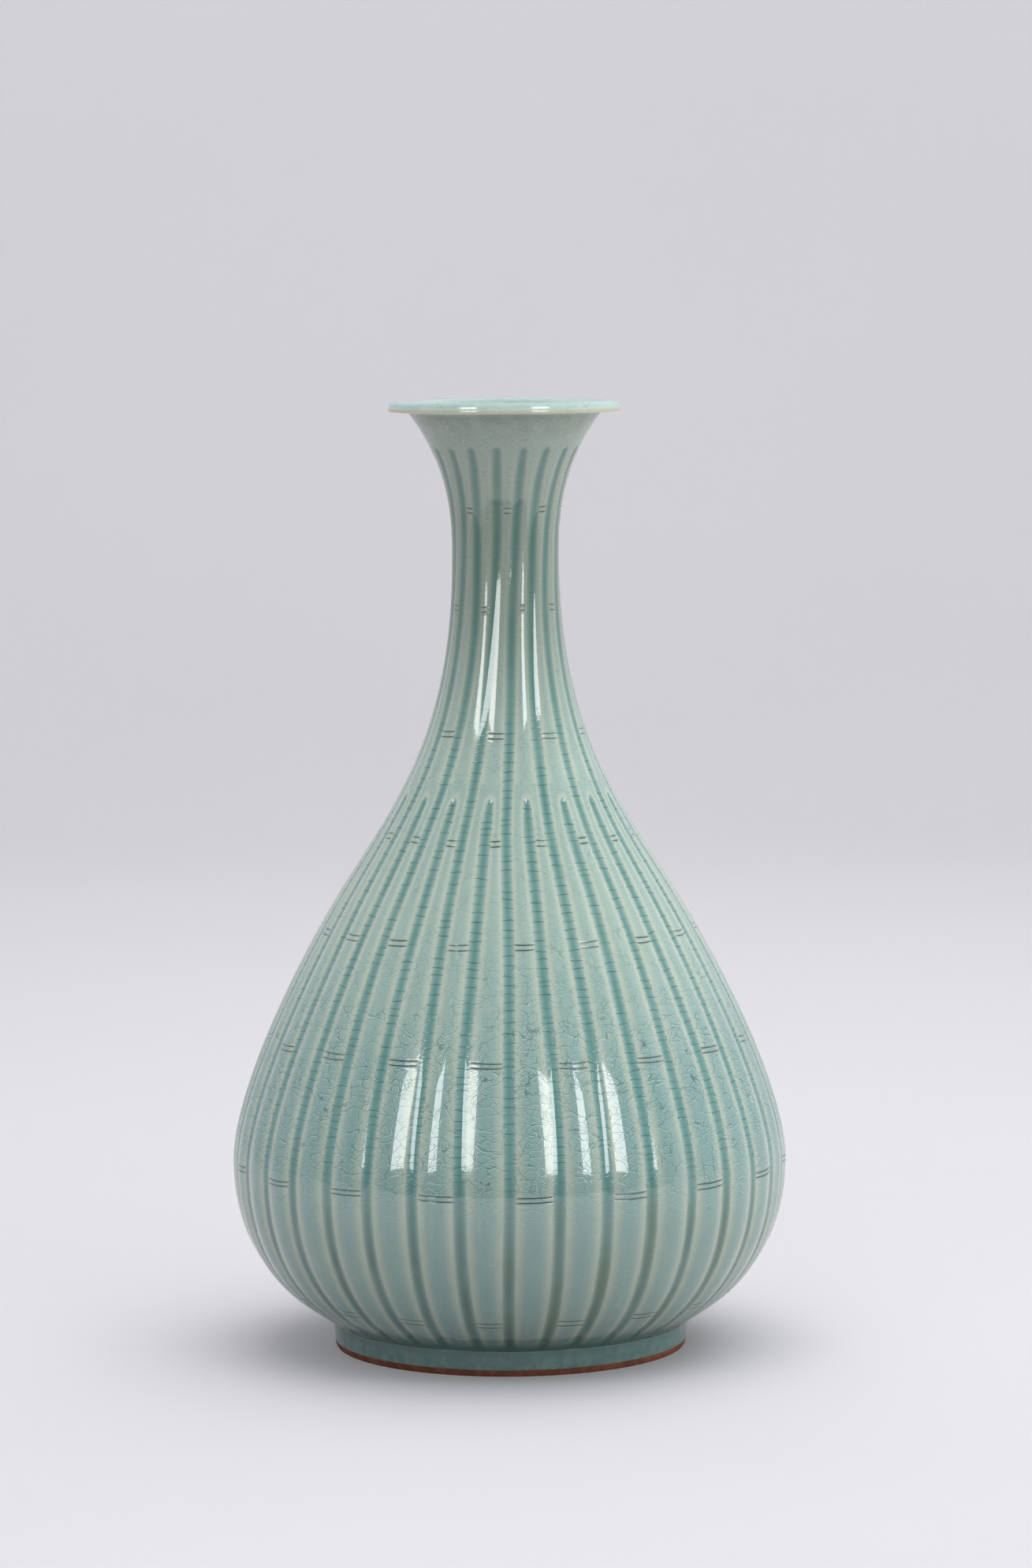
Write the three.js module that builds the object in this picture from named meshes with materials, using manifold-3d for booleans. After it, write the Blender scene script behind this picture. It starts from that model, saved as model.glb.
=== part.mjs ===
// Pear-shaped bottle vase of celadon stoneware, carved outside as a bundle of bamboo stalks.
// Millimetres, +Z up. The origin is the centre of the foot's resting face, and the front faces -Y.
// The vase is thrown in sections, which stand rim on rim and are luted with beads of slip.

import * as THREE from 'three';
import { mergeVertices } from 'three/addons/utils/BufferGeometryUtils.js';
import Module from 'manifold-3d';

const wasm = await Module();
wasm.setup();

// Foot ring
const FOOT_RADIUS = 69.8;
const FOOT_TAPER = 0.8;
const FOOT_HEIGHT = 10;
const FOOT_RING_WIDTH = 11.3;
const FOOT_BEVEL_HEIGHT = 2.2;
const FOOT_BEVEL_DEPTH = 0.8;
const FOOT_INNER_ROUND = 1.5;

// Outline over the rib crests: radius at each station, and the rise from the station below
const RIB_OVERHANG = 0.9;
const BELLY_RADIUS = 108.4;
const BELLY_RISE = 64.5;
const SHOULDER_RADIUS = 67.2;
const SHOULDER_RISE = 102;
const NECK_RADIUS = 21;
const NECK_RISE = 131.7;
const FLARE_RADIUS = 37.8;
const FLARE_RISE = 57.6;

// Slope of the outline at a station, in degrees from level
const FOOT_SLOPE = 64.4;
const SHOULDER_SLOPE = 58.6;
const FLARE_SLOPE = 51.8;

// Pull of each curve along its end slope, as a share of the rise between two stations
const FOOT_PULL = 0.085;
const BELLY_PULL_BELOW = 0.76;
const BELLY_PULL_ABOVE = 0.28;
const SHOULDER_PULL_BELOW = 0.228;
const SHOULDER_PULL_ABOVE = 0.3;
const NECK_PULL_BELOW = 0.534;
const NECK_PULL_ABOVE = 0.2;
const FLARE_PULL = 0.495;

// Lip
const LIP_RADIUS = 45.2;
const LIP_THICKNESS = 4.2;
const LIP_EDGE_ROUND = 0.8;
const LIP_CROWN_WIDTH = 3.7;
const FUNNEL_PULL_BELOW = 6;
const FUNNEL_PULL_ABOVE = 7;

// Walls
const WALL = 6;
const FLOOR_THICKNESS = 7;

// Stalks: the neck has this many, and each one splits in two below the shoulder
const STALKS = 18;
const GROOVE_WIDTH_NECK = 4.4;
const GROOVE_WIDTH_BELLY = 5.4;
const GROOVE_DEPTH_NECK = 0.3;
const GROOVE_DEPTH_BELLY = 0.35;
const GROOVE_FLOOR_SHARE = 0.3;
const RIB_CROWN_NECK = 0.4;
const RIB_CROWN_BELLY = 1.1;
const TIP_BELOW_LIP = 12.9;
const TIP_LENGTH = 4;
const SPLIT_ABOVE_SHOULDER = 42.7;
const SPLIT_LENGTH = 12;
const TIP_WIDTH_SHARE = 0.5;

// Lean of the stalks on the neck, in degrees at their tips, from this far above the shoulder
const LEAN = 13.9;
const LEAN_START = 28.5;
const LEAN_POWER = 1.25;

// Seams between the thrown sections
const BELLY_SEAM_ABOVE_BELLY = 32;
const SHOULDER_SEAM_ABOVE_SPLIT = 5;
const MOUTH_SEAM_ABOVE_TIP = 2;
const SLIP_WIDTH = 1.6;
const SLIP_DEPTH = 1.6;
const SLIP_CLEARANCE = 0.3;

// Fineness of the facets
const LOWER_BODY_ROWS = 5;
const BELLY_ROWS = 2;
const UPPER_BODY_ROWS = 7;
const SPLIT_ROWS = 2;
const NECK_ROWS = 7;
const TIP_ROWS = 2;
const FLARE_ROWS = 5;
const LIP_ROWS = 6;
const CAVITY_ROWS = 16;
const ROUND_SEGMENTS = 36;

// Columns of facets across a rib, and how many grooves on a section's next groove lies
const BODY_RIB_COLUMNS = 1;
const NECK_RIB_COLUMNS = 2;
const BODY_GROOVE_STEP = 1;
const NECK_GROOVE_STEP = 2;

// How far a cut runs past its piece, and the steps of the search for a height
const CUT_MARGIN = 3;
const HALVINGS = 50;

// Heights that follow from the rises
const BELLY_Z = FOOT_HEIGHT + BELLY_RISE;
const SHOULDER_Z = BELLY_Z + SHOULDER_RISE;
const NECK_Z = SHOULDER_Z + NECK_RISE;
const LIP_UNDERSIDE_Z = NECK_Z + FLARE_RISE;
const LIP_TOP_Z = LIP_UNDERSIDE_Z + LIP_THICKNESS;
const TIP_Z = LIP_UNDERSIDE_Z - TIP_BELOW_LIP;
const SPLIT_Z = SHOULDER_Z + SPLIT_ABOVE_SHOULDER;
const LEAN_Z = SHOULDER_Z + LEAN_START;
const BELLY_SEAM_Z = BELLY_Z + BELLY_SEAM_ABOVE_BELLY;
const SHOULDER_SEAM_Z = SPLIT_Z + SHOULDER_SEAM_ABOVE_SPLIT;
const MOUTH_SEAM_Z = TIP_Z + MOUTH_SEAM_ABOVE_TIP;
const FLOOR_Z = FOOT_HEIGHT + FLOOR_THICKNESS;

const { degToRad, lerp, smoothstep, euclideanModulo } = THREE.MathUtils;

// A point at a radius and a height
function at(radius, z) {
  return new THREE.Vector2(radius, z);
}

// The unit direction that slopes by so many degrees from level
function direction(slope) {
  return at(Math.cos(degToRad(slope)), Math.sin(degToRad(slope)));
}

// One stretch of the outline between two stations, drawn along the slope at each end
function stretch(low, lowDirection, lowPull, high, highDirection, highPull) {
  const rise = high.y - low.y;
  const afterLow = low.clone().addScaledVector(lowDirection, lowPull * rise);
  const beforeHigh = high.clone().addScaledVector(highDirection, -highPull * rise);
  return new THREE.CubicBezierCurve(low, afterLow, beforeHigh, high);
}

const upright = at(0, 1);
const inwards = direction(SHOULDER_SLOPE).multiply(at(-1, 1));
const ribFoot = at(FOOT_RADIUS + RIB_OVERHANG, FOOT_HEIGHT);
const belly = at(BELLY_RADIUS, BELLY_Z);
const shoulder = at(SHOULDER_RADIUS, SHOULDER_Z);
const waist = at(NECK_RADIUS, NECK_Z);
const flareEnd = at(FLARE_RADIUS, LIP_UNDERSIDE_Z);

const outline = [
  stretch(ribFoot, direction(FOOT_SLOPE), FOOT_PULL, belly, upright, BELLY_PULL_BELOW),
  stretch(belly, upright, BELLY_PULL_ABOVE, shoulder, inwards, SHOULDER_PULL_BELOW),
  stretch(shoulder, inwards, SHOULDER_PULL_ABOVE, waist, upright, NECK_PULL_BELOW),
  stretch(waist, upright, NECK_PULL_ABOVE, flareEnd, direction(FLARE_SLOPE), FLARE_PULL),
];

// The outline's point at a run along it, which counts one for each stretch, set in by a wall
function outlinePoint(run, inset = 0) {
  const index = Math.min(Math.floor(run), outline.length - 1);
  const point = outline[index].getPoint(run - index);
  if (inset === 0) return point;
  const tangent = outline[index].getTangent(run - index);
  return point.add(at(-tangent.y, tangent.x).multiplyScalar(inset));
}

// The run at which the outline, set in by a wall, reaches a height
function runAt(z, inset = 0) {
  let low = 0;
  let high = outline.length;
  for (let halving = 0; halving < HALVINGS; halving += 1) {
    const middle = (low + high) / 2;
    if (outlinePoint(middle, inset).y < z) low = middle;
    else high = middle;
  }
  return (low + high) / 2;
}

function radiusAt(z, inset = 0) {
  return outlinePoint(runAt(z, inset), inset).x;
}

// Points on the outline, set in by a wall, from one height to another
function outlineRows(fromZ, toZ, rows, inset = 0) {
  const fromRun = runAt(fromZ, inset);
  const toRun = runAt(toZ, inset);
  const points = [];
  for (let row = 0; row <= rows; row += 1) {
    points.push(outlinePoint(lerp(fromRun, toRun, row / rows), inset));
  }
  points[0].y = fromZ;
  points[rows].y = toZ;
  return points;
}

// A value that goes from its size on the neck to its size on the belly with the radius
function byRadius(neckValue, bellyValue, radius) {
  return lerp(neckValue, bellyValue, (radius - NECK_RADIUS) / (BELLY_RADIUS - NECK_RADIUS));
}

// The grooves lean to one side on the way up the neck
function leanAt(z) {
  const share = Math.max(0, (z - LEAN_Z) / (TIP_Z - LEAN_Z));
  return degToRad(LEAN) * share ** LEAN_POWER;
}

// How far the long grooves, and the grooves that split the stalks, have reached full depth
function longGrooveShare(z) {
  return smoothstep(TIP_Z - z, 0, TIP_LENGTH);
}

function splitGrooveShare(z) {
  return smoothstep(SPLIT_Z - z, 0, SPLIT_LENGTH);
}

function grooveShare(groove, z) {
  return groove % 2 === 0 ? longGrooveShare(z) : splitGrooveShare(z);
}

// Half the groove's width at a height, as an angle about the axis
function grooveHalfAngle(radius, share) {
  const width = byRadius(GROOVE_WIDTH_NECK, GROOVE_WIDTH_BELLY, radius);
  return (width / 2 / radius) * lerp(TIP_WIDTH_SHARE, 1, share);
}

const GROOVES = 2 * STALKS;
const GROOVE_PITCH = (2 * Math.PI) / GROOVES;

// How far a rib's crown has fallen, from 0 on its middle to 1 in the grooves on both sides
function crownFall(angle, pitch) {
  const across = euclideanModulo(angle, pitch) / pitch;
  return (2 * across - 1) ** 2;
}

// How deep the surface lies below the crest outline, at an angle counted from the leaning groove
function carvedDepth(angle, radius, z) {
  const share = longGrooveShare(z);
  const wideFall = crownFall(angle, 2 * GROOVE_PITCH);
  const narrowFall = crownFall(angle, GROOVE_PITCH);
  const fall = share * lerp(wideFall, narrowFall, splitGrooveShare(z));
  const crown = byRadius(RIB_CROWN_NECK, RIB_CROWN_BELLY, radius) * fall;
  const groove = Math.round(angle / GROOVE_PITCH);
  const reach = grooveHalfAngle(radius, grooveShare(groove, z));
  const away = Math.abs(angle - groove * GROOVE_PITCH) / reach;
  const bowl = 1 - smoothstep(away, GROOVE_FLOOR_SHARE, 1);
  const depth = byRadius(GROOVE_DEPTH_NECK, GROOVE_DEPTH_BELLY, radius);
  return crown + depth * grooveShare(groove, z) * bowl;
}

// A profile turned about the upright axis, with its first meridian at the front
function turned(profile) {
  return new THREE.LatheGeometry(profile, ROUND_SEGMENTS).rotateX(Math.PI / 2);
}

// Columns of the carved surface in one groove's pitch: across the groove, then across the rib
const GROOVE_COLUMNS = [-1, -0.4, 0.4, 1];

// A turned profile whose meridians follow the leaning grooves and are carved to the stalks
function carved(profile, grooveStep, ribColumns) {
  const columnsPerGroove = GROOVE_COLUMNS.length + ribColumns;
  const columns = (GROOVES / grooveStep) * columnsPerGroove;
  const geometry = new THREE.LatheGeometry(profile, columns);
  const position = geometry.attributes.position;
  for (let column = 0; column <= columns; column += 1) {
    const groove = Math.floor(column / columnsPerGroove) * grooveStep;
    const place = column % columnsPerGroove;
    profile.forEach(({ x: radius, y: z }, row) => {
      if (radius === 0) return;
      const angle = columnAngle(groove, place, grooveStep, ribColumns, radius, z);
      const carvedRadius = radius - carvedDepth(angle, radius, z);
      const turn = angle + leanAt(z);
      const index = column * profile.length + row;
      position.setXYZ(index, carvedRadius * Math.sin(turn), z, carvedRadius * Math.cos(turn));
    });
  }
  return geometry.rotateX(Math.PI / 2);
}

// A column's angle: the groove's columns keep to its width, and the rib's share what is left
function columnAngle(groove, place, grooveStep, ribColumns, radius, z) {
  const here = groove * GROOVE_PITCH;
  const halfHere = grooveHalfAngle(radius, grooveShare(groove, z));
  if (place < GROOVE_COLUMNS.length) return here + GROOVE_COLUMNS[place] * halfHere;
  const next = groove + grooveStep;
  const ribStart = here + halfHere;
  const ribEnd = next * GROOVE_PITCH - grooveHalfAngle(radius, grooveShare(next, z));
  return lerp(ribStart, ribEnd, (place - GROOVE_COLUMNS.length + 1) / (ribColumns + 1));
}

// A closed body for joining and cutting
function toSolid(geometry) {
  const bare = geometry.clone();
  bare.deleteAttribute('normal');
  bare.deleteAttribute('uv');
  const merged = mergeVertices(bare);
  const corners = merged.index.array;
  const triangles = [];
  for (let first = 0; first < corners.length; first += 3) {
    const [a, b, c] = corners.subarray(first, first + 3);
    if (a !== b && b !== c && c !== a) triangles.push(a, b, c);
  }
  return new wasm.Manifold(new wasm.Mesh({
    numProp: 3,
    vertProperties: merged.attributes.position.array,
    triVerts: Uint32Array.from(triangles),
  }));
}

function toGeometry(solid) {
  const mesh = solid.getMesh();
  const geometry = new THREE.BufferGeometry();
  geometry.setAttribute('position', new THREE.BufferAttribute(mesh.vertProperties, 3));
  geometry.setIndex(new THREE.BufferAttribute(mesh.triVerts, 1));
  geometry.computeVertexNormals();
  return geometry;
}

// A ring of rectangular section, open to nothing: its profile closes on itself
function ring(innerRadius, outerRadius, lowZ, highZ) {
  const profile = [
    at(innerRadius, lowZ),
    at(outerRadius, lowZ),
    at(outerRadius, highZ),
    at(innerRadius, highZ),
    at(innerRadius, lowZ),
  ];
  return turned(profile);
}

// The scored channel in a rim, and the bead of slip that fills it with a clearance all round
function slipChannel(radius, seamZ) {
  const half = SLIP_WIDTH / 2 + SLIP_CLEARANCE;
  return toSolid(ring(radius - half, radius + half, seamZ - SLIP_DEPTH, seamZ + CUT_MARGIN));
}

function slipBead(radius, seamZ) {
  const half = SLIP_WIDTH / 2;
  const lowZ = seamZ - SLIP_DEPTH + SLIP_CLEARANCE;
  return ring(radius - half, radius + half, lowZ, seamZ - SLIP_CLEARANCE);
}

// The lowest that the carving reaches at a height
function grooveFloorAt(z) {
  const crest = radiusAt(z);
  const crown = byRadius(RIB_CROWN_NECK, RIB_CROWN_BELLY, crest);
  return crest - crown - byRadius(GROOVE_DEPTH_NECK, GROOVE_DEPTH_BELLY, crest);
}

// The middle of the wall all along a slip channel, between the grooves' floors and the inner face
function wallMiddle(seamZ) {
  const channelZ = seamZ - SLIP_DEPTH;
  const outer = Math.min(grooveFloorAt(channelZ), grooveFloorAt(seamZ));
  const inner = Math.max(radiusAt(channelZ, WALL), radiusAt(seamZ, WALL));
  return (outer + inner) / 2;
}

const footMiddle = FOOT_RADIUS - FOOT_RING_WIDTH / 2;
const bellySeamMiddle = wallMiddle(BELLY_SEAM_Z);
const shoulderSeamMiddle = wallMiddle(SHOULDER_SEAM_Z);
const mouthSeamMiddle = wallMiddle(MOUTH_SEAM_Z);

// The hollow inside, from the floor to past the seam under the mouth
function cavity() {
  const wallRows = outlineRows(FLOOR_Z, MOUTH_SEAM_Z, CAVITY_ROWS, WALL);
  const topZ = MOUTH_SEAM_Z + CUT_MARGIN;
  const profile = [at(0, FLOOR_Z), ...wallRows, at(radiusAt(topZ, WALL), topZ), at(0, topZ)];
  return toSolid(turned(profile));
}

const hollow = cavity();

// A carved section of the wall, with the hollow and the slip channel of its upper rim cut out
function wallSection(rows, grooveStep, ribColumns, channel) {
  const profile = [at(0, rows[0].y), ...rows, at(0, rows.at(-1).y)];
  const solid = toSolid(carved(profile, grooveStep, ribColumns));
  return toGeometry(solid.subtract(hollow).subtract(channel));
}

function lowerBody() {
  const rows = [
    ...outlineRows(FOOT_HEIGHT, BELLY_Z, LOWER_BODY_ROWS),
    ...outlineRows(BELLY_Z, BELLY_SEAM_Z, BELLY_ROWS).slice(1),
  ];
  const channel = slipChannel(bellySeamMiddle, BELLY_SEAM_Z);
  return wallSection(rows, BODY_GROOVE_STEP, BODY_RIB_COLUMNS, channel);
}

function upperBody() {
  const splitEndZ = SPLIT_Z - SPLIT_LENGTH;
  const rows = [
    ...outlineRows(BELLY_SEAM_Z, splitEndZ, UPPER_BODY_ROWS),
    ...outlineRows(splitEndZ, SPLIT_Z, SPLIT_ROWS).slice(1),
    at(radiusAt(SHOULDER_SEAM_Z), SHOULDER_SEAM_Z),
  ];
  const channel = slipChannel(shoulderSeamMiddle, SHOULDER_SEAM_Z);
  return wallSection(rows, BODY_GROOVE_STEP, BODY_RIB_COLUMNS, channel);
}

function neck() {
  const tipStartZ = TIP_Z - TIP_LENGTH;
  const rows = [
    ...outlineRows(SHOULDER_SEAM_Z, tipStartZ, NECK_ROWS),
    ...outlineRows(tipStartZ, TIP_Z, TIP_ROWS).slice(1),
    at(radiusAt(MOUTH_SEAM_Z), MOUTH_SEAM_Z),
  ];
  const channel = slipChannel(mouthSeamMiddle, MOUTH_SEAM_Z);
  return wallSection(rows, NECK_GROOVE_STEP, NECK_RIB_COLUMNS, channel);
}

// The trumpet mouth: its flare, the lip's flat underside and rounded edge, and the funnel inside
function mouth() {
  const halfLip = LIP_THICKNESS / 2;
  const edgeStart = LIP_RADIUS - LIP_EDGE_ROUND;
  const crestRadius = LIP_RADIUS - LIP_CROWN_WIDTH;
  const edge = new THREE.EllipseCurve(
    edgeStart, LIP_TOP_Z - halfLip, LIP_EDGE_ROUND, halfLip, -Math.PI / 2, Math.PI / 2,
  );
  const seamRun = runAt(MOUTH_SEAM_Z, WALL);
  const innerSeam = at(outlinePoint(seamRun, WALL).x, MOUTH_SEAM_Z);
  const seamSlope = outline.at(-1).getTangent(seamRun - outline.length + 1);
  const crest = at(crestRadius, LIP_TOP_Z);
  const funnel = new THREE.CubicBezierCurve(
    crest,
    at(crestRadius - FUNNEL_PULL_ABOVE, LIP_TOP_Z),
    innerSeam.clone().addScaledVector(seamSlope, FUNNEL_PULL_BELOW),
    innerSeam,
  );
  const profile = [
    ...outlineRows(MOUTH_SEAM_Z, LIP_UNDERSIDE_Z, FLARE_ROWS),
    ...edge.getPoints(LIP_ROWS),
    ...funnel.getPoints(FLARE_ROWS + 1),
    at(radiusAt(MOUTH_SEAM_Z), MOUTH_SEAM_Z),
  ];
  return turned(profile);
}

// The foot ring, with its wall that tapers down to the bare bevel, and a rounded edge inside
function footRing() {
  const innerRadius = FOOT_RADIUS - FOOT_RING_WIDTH;
  const bevelRadius = FOOT_RADIUS - FOOT_TAPER;
  const profile = [
    at(innerRadius + FOOT_INNER_ROUND, 0),
    at(bevelRadius - FOOT_BEVEL_DEPTH, 0),
    at(bevelRadius, FOOT_BEVEL_HEIGHT),
    at(FOOT_RADIUS, FOOT_HEIGHT),
    at(innerRadius, FOOT_HEIGHT),
    at(innerRadius, FOOT_INNER_ROUND),
    at(innerRadius + FOOT_INNER_ROUND, 0),
  ];
  const solid = toSolid(turned(profile));
  return toGeometry(solid.subtract(slipChannel(footMiddle, FOOT_HEIGHT)));
}

// Finishes
function celadon() {
  return new THREE.MeshStandardMaterial({ color: 0x8fb5a9, roughness: 0.12, metalness: 0 });
}

function driedSlip() {
  return new THREE.MeshStandardMaterial({ color: 0xb7a68f, roughness: 0.9, metalness: 0 });
}

const vase = new THREE.Group();

function addPiece(name, geometry, material) {
  const mesh = new THREE.Mesh(geometry, material);
  mesh.name = name;
  vase.add(mesh);
}

addPiece('foot_ring', footRing(), celadon());
addPiece('lower_body', lowerBody(), celadon());
addPiece('upper_body', upperBody(), celadon());
addPiece('neck', neck(), celadon());
addPiece('mouth', mouth(), celadon());
addPiece('foot_seam_slip', slipBead(footMiddle, FOOT_HEIGHT), driedSlip());
addPiece('belly_seam_slip', slipBead(bellySeamMiddle, BELLY_SEAM_Z), driedSlip());
addPiece('shoulder_seam_slip', slipBead(shoulderSeamMiddle, SHOULDER_SEAM_Z), driedSlip());
addPiece('mouth_seam_slip', slipBead(mouthSeamMiddle, MOUTH_SEAM_Z), driedSlip());

export default vase;
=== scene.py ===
"""Pear-shaped bottle vase of crackled celadon, carved as a bundle of bamboo stalks.

The sections are built in millimetres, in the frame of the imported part, and become meshes in metres.
"""

import math

import bmesh
import bpy
import numpy as np
from mathutils import Color, Matrix, Vector


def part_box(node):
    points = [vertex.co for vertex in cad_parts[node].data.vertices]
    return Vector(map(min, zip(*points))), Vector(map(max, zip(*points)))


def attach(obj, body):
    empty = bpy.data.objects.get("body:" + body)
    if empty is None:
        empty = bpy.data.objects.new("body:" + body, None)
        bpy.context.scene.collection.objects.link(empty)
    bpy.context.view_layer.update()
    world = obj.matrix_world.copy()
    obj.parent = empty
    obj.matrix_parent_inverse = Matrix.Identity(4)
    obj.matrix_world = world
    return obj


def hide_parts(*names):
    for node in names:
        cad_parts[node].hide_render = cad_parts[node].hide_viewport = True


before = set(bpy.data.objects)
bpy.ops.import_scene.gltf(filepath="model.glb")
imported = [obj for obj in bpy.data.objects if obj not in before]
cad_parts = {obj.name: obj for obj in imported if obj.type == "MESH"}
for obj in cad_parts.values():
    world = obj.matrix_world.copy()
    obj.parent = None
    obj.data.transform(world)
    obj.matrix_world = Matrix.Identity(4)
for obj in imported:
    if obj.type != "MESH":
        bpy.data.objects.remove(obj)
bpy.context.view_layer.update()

MM = 0.001
FULL_TURN = 2 * math.pi
BODY = "root"
BAKE_MAP = "OFBake"
SEED = 7


def top_of(node):
    """The height of a node's upper end, in millimetres."""
    return round(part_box(node)[1].z / MM, 3)


def radius_of(node):
    """A node's largest radius, in millimetres."""
    return round(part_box(node)[1].x / MM, 3)


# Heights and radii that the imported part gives
FOOT_HEIGHT = top_of("foot_ring")
BELLY_SEAM_Z = top_of("lower_body")
SHOULDER_SEAM_Z = top_of("upper_body")
MOUTH_SEAM_Z = top_of("neck")
LIP_TOP_Z = top_of("mouth")
LIP_RADIUS = radius_of("mouth")

# Foot ring
FOOT_TOP_RADIUS = 69.8
FOOT_LOW_RADIUS = 69
FOOT_RING_WIDTH = 11.3
FOOT_TOP_ROUND = 0.1
FOOT_BEVEL_HEIGHT = 2.2
FOOT_BEVEL_DEPTH = 0.7
FOOT_INNER_ROUND = 1.5

# Outline over the rib crests: radius at each station, slopes in degrees, pulls as shares of the rise
RIB_FOOT_RADIUS = 70.7
BELLY_RADIUS = 108.4
SHOULDER_RADIUS = 67.2
NECK_RADIUS = 21
FLARE_RADIUS = 37.8
FLARE_RISE = 57.6
FOOT_SLOPE = 64.4
SHOULDER_SLOPE = 58.6
FLARE_SLOPE = 51.8
FOOT_PULL = 0.085
BELLY_PULL_BELOW = 0.76
BELLY_PULL_ABOVE = 0.28
SHOULDER_PULL_BELOW = 0.228
SHOULDER_PULL_ABOVE = 0.3
NECK_PULL_BELOW = 0.534
NECK_PULL_ABOVE = 0.2
FLARE_PULL = 0.495
CURVE_STEPS = 4000

# Lip and walls
LIP_THICKNESS = 4.2
LIP_EDGE_ROUND = 0.7
LIP_EDGE_HEIGHT = 1.0
LIP_STEP = 0.3
LIP_STEP_HEIGHT = 1.4
LIP_SHOULDER = 1.9
LIP_CROWN_WIDTH = 3.7
FUNNEL_PULL_BELOW = 6
FUNNEL_PULL_ABOVE = 7
WALL = 6
FLOOR_THICKNESS = 7
FLOOR_FILLET = 8

# Stations that follow from the seams
BELLY_SEAM_ABOVE_BELLY = 32
SHOULDER_SEAM_ABOVE_SPLIT = 5
MOUTH_SEAM_ABOVE_TIP = 2
SPLIT_ABOVE_SHOULDER = 42.7
LEAN_START = 28.5
BELLY_Z = BELLY_SEAM_Z - BELLY_SEAM_ABOVE_BELLY
SPLIT_Z = SHOULDER_SEAM_Z - SHOULDER_SEAM_ABOVE_SPLIT
SHOULDER_Z = SPLIT_Z - SPLIT_ABOVE_SHOULDER
LEAN_Z = SHOULDER_Z + LEAN_START
TIP_Z = MOUTH_SEAM_Z - MOUTH_SEAM_ABOVE_TIP
LIP_UNDERSIDE_Z = LIP_TOP_Z - LIP_THICKNESS
NECK_Z = LIP_UNDERSIDE_Z - FLARE_RISE
FLOOR_Z = FOOT_HEIGHT + FLOOR_THICKNESS

# Stalks and the grooves between them. The body has every groove, and the neck every other one.
GROOVES = 36
BODY_STEP = 1
NECK_STEP = 2
PITCH = FULL_TURN / GROOVES
GROOVE_WIDTH_NECK = 4.6
GROOVE_WIDTH_BELLY = 5.4
GROOVE_DEPTH = 0.03
GROOVE_FLOOR_SHARE = 0.22
GROOVE_FILLET = 1.2
RIB_TOP_ROUND = 0.35
RIB_CROWN_NECK = 0.36
RIB_CROWN_BELLY = 1.1
CROWN_BLEND = 24
LEAN = math.radians(13.9)
LEAN_POWER = 1.25
TIP_CAP = 2.2
TIP_WIDTH_SHARE = 0.85
SPLIT_CAP = 3.2
SPLIT_WIDTH_SHARE = 0.7
END_WIDENING = 12
END_DEPTH = 0.7
END_FADE = 14

# How the grooves vary under the hand: how far they wander, in which waves, and their widths
WANDER = 0.4
WANDER_LEAST = 0.4
WANDER_WAVES = (0.031, 0.074)
WIDTH_RANGE = (0.93, 1.08)

# The ribs' rounded ends over the foot. Shares run from 0 at their upper edge to 1 at the foot.
RIB_END_HEIGHT = 5
RIB_END_Z = FOOT_HEIGHT + RIB_END_HEIGHT
RIB_END_DEPTH = 0.75
RIB_END_STOP = 0.985
RIB_END_RELIEF = 0.6
RIB_END_FLATTENS = (0.4, 1)

# Incised node lines: the height of each pair. From level to level they change to the ribs between.
NECK_NODES = (328.7, 290.5, 242.0)
BODY_NODES = (202.7, 165.7, 123.4, 74.8, 23.8)
LINE_DEPTH = 0.3
LINE_HALF_WIDTH = 0.42
LINE_BOTTOM = 0.05
LINE_BURR = 0.07
LINE_BURR_DROP = 0.62
LINE_BURR_WIDTH = 0.22
LINE_END_SOFTNESS = 0.35
NODE_BAND = 2.1
NODE_FADE = 6.5
BEND_MARGIN = 0.12
SAG_LEVEL = 0.5

# How each pair varies under the hand: millimetres, and the depth as a share
HAND_RANGES = {
    "rise": (-0.45, 0.45),
    "tilt": (-0.3, 0.3),
    "sag": (0.1, 0.4),
    "gap": (1.7, 2.05),
    "depth": (0.75, 1.15),
    "lean": (-0.12, 0.12),
}

# Columns of one pitch: places across a groove in half widths, and places on the rib between two grooves
HALF_PLACES = (0.24, 0.45, 0.62, 0.76, 0.9, 1.04, 1.25)
GROOVE_PLACES = (*(-place for place in reversed(HALF_PLACES)), 0, *HALF_PLACES)
RIB_MIDDLE = 0.5
RIB_PLACES = (0.25, RIB_MIDDLE, 0.75)
ROUND_COLUMNS = 216

# Spacing of the carved rows: wide on even stretches, close where the carving is fine, blended between
ROW_SPACING = 3.0
NODE_ROW_SPACING = 0.2
TIP_ROW_SPACING = 0.6
RIB_END_ROW_SPACING = 0.4
SEAM_ROW_SPACING = 0.5
TIP_ROW_REACH = 7
SEAM_ROW_REACH = 1
NODE_ROW_BLEND = 5
ROW_BLEND = 8
HEIGHT_SAMPLES = 20000

# Rows of the plain faces
UNDERSIDE_RADII = (20, 40, 60)
FLOOR_RADII = (50, 30, 15)
LIP_UNDER_SHARES = (0.15, 0.5, 0.85)
BODY_INNER_ROWS = 22
NECK_INNER_ROWS = 26

# The finish's masks, which come with the mesh
MASKS = ("pool", "cream", "line", "tick", "groove", "funnel")
UNDERSIDE_POOL = 0.4
INSIDE_POOL = 0.3
FOOT_POOL = 0.55
LIP_CREAM_FALL = (0.15, 0.55)

# Masks across a groove, in half widths from its middle, and on the rib, in shares of its half
POOL_CORE = 0.05
POOL_WIDER_LOW = 0.15
POOL_WIDER_NECK = 0.4
CREAM_RISE = (0.6, 1.0)
CREAM_FALL = (0.1, 0.7)
TICK_FALL = (0.7, 1.1)

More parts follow.
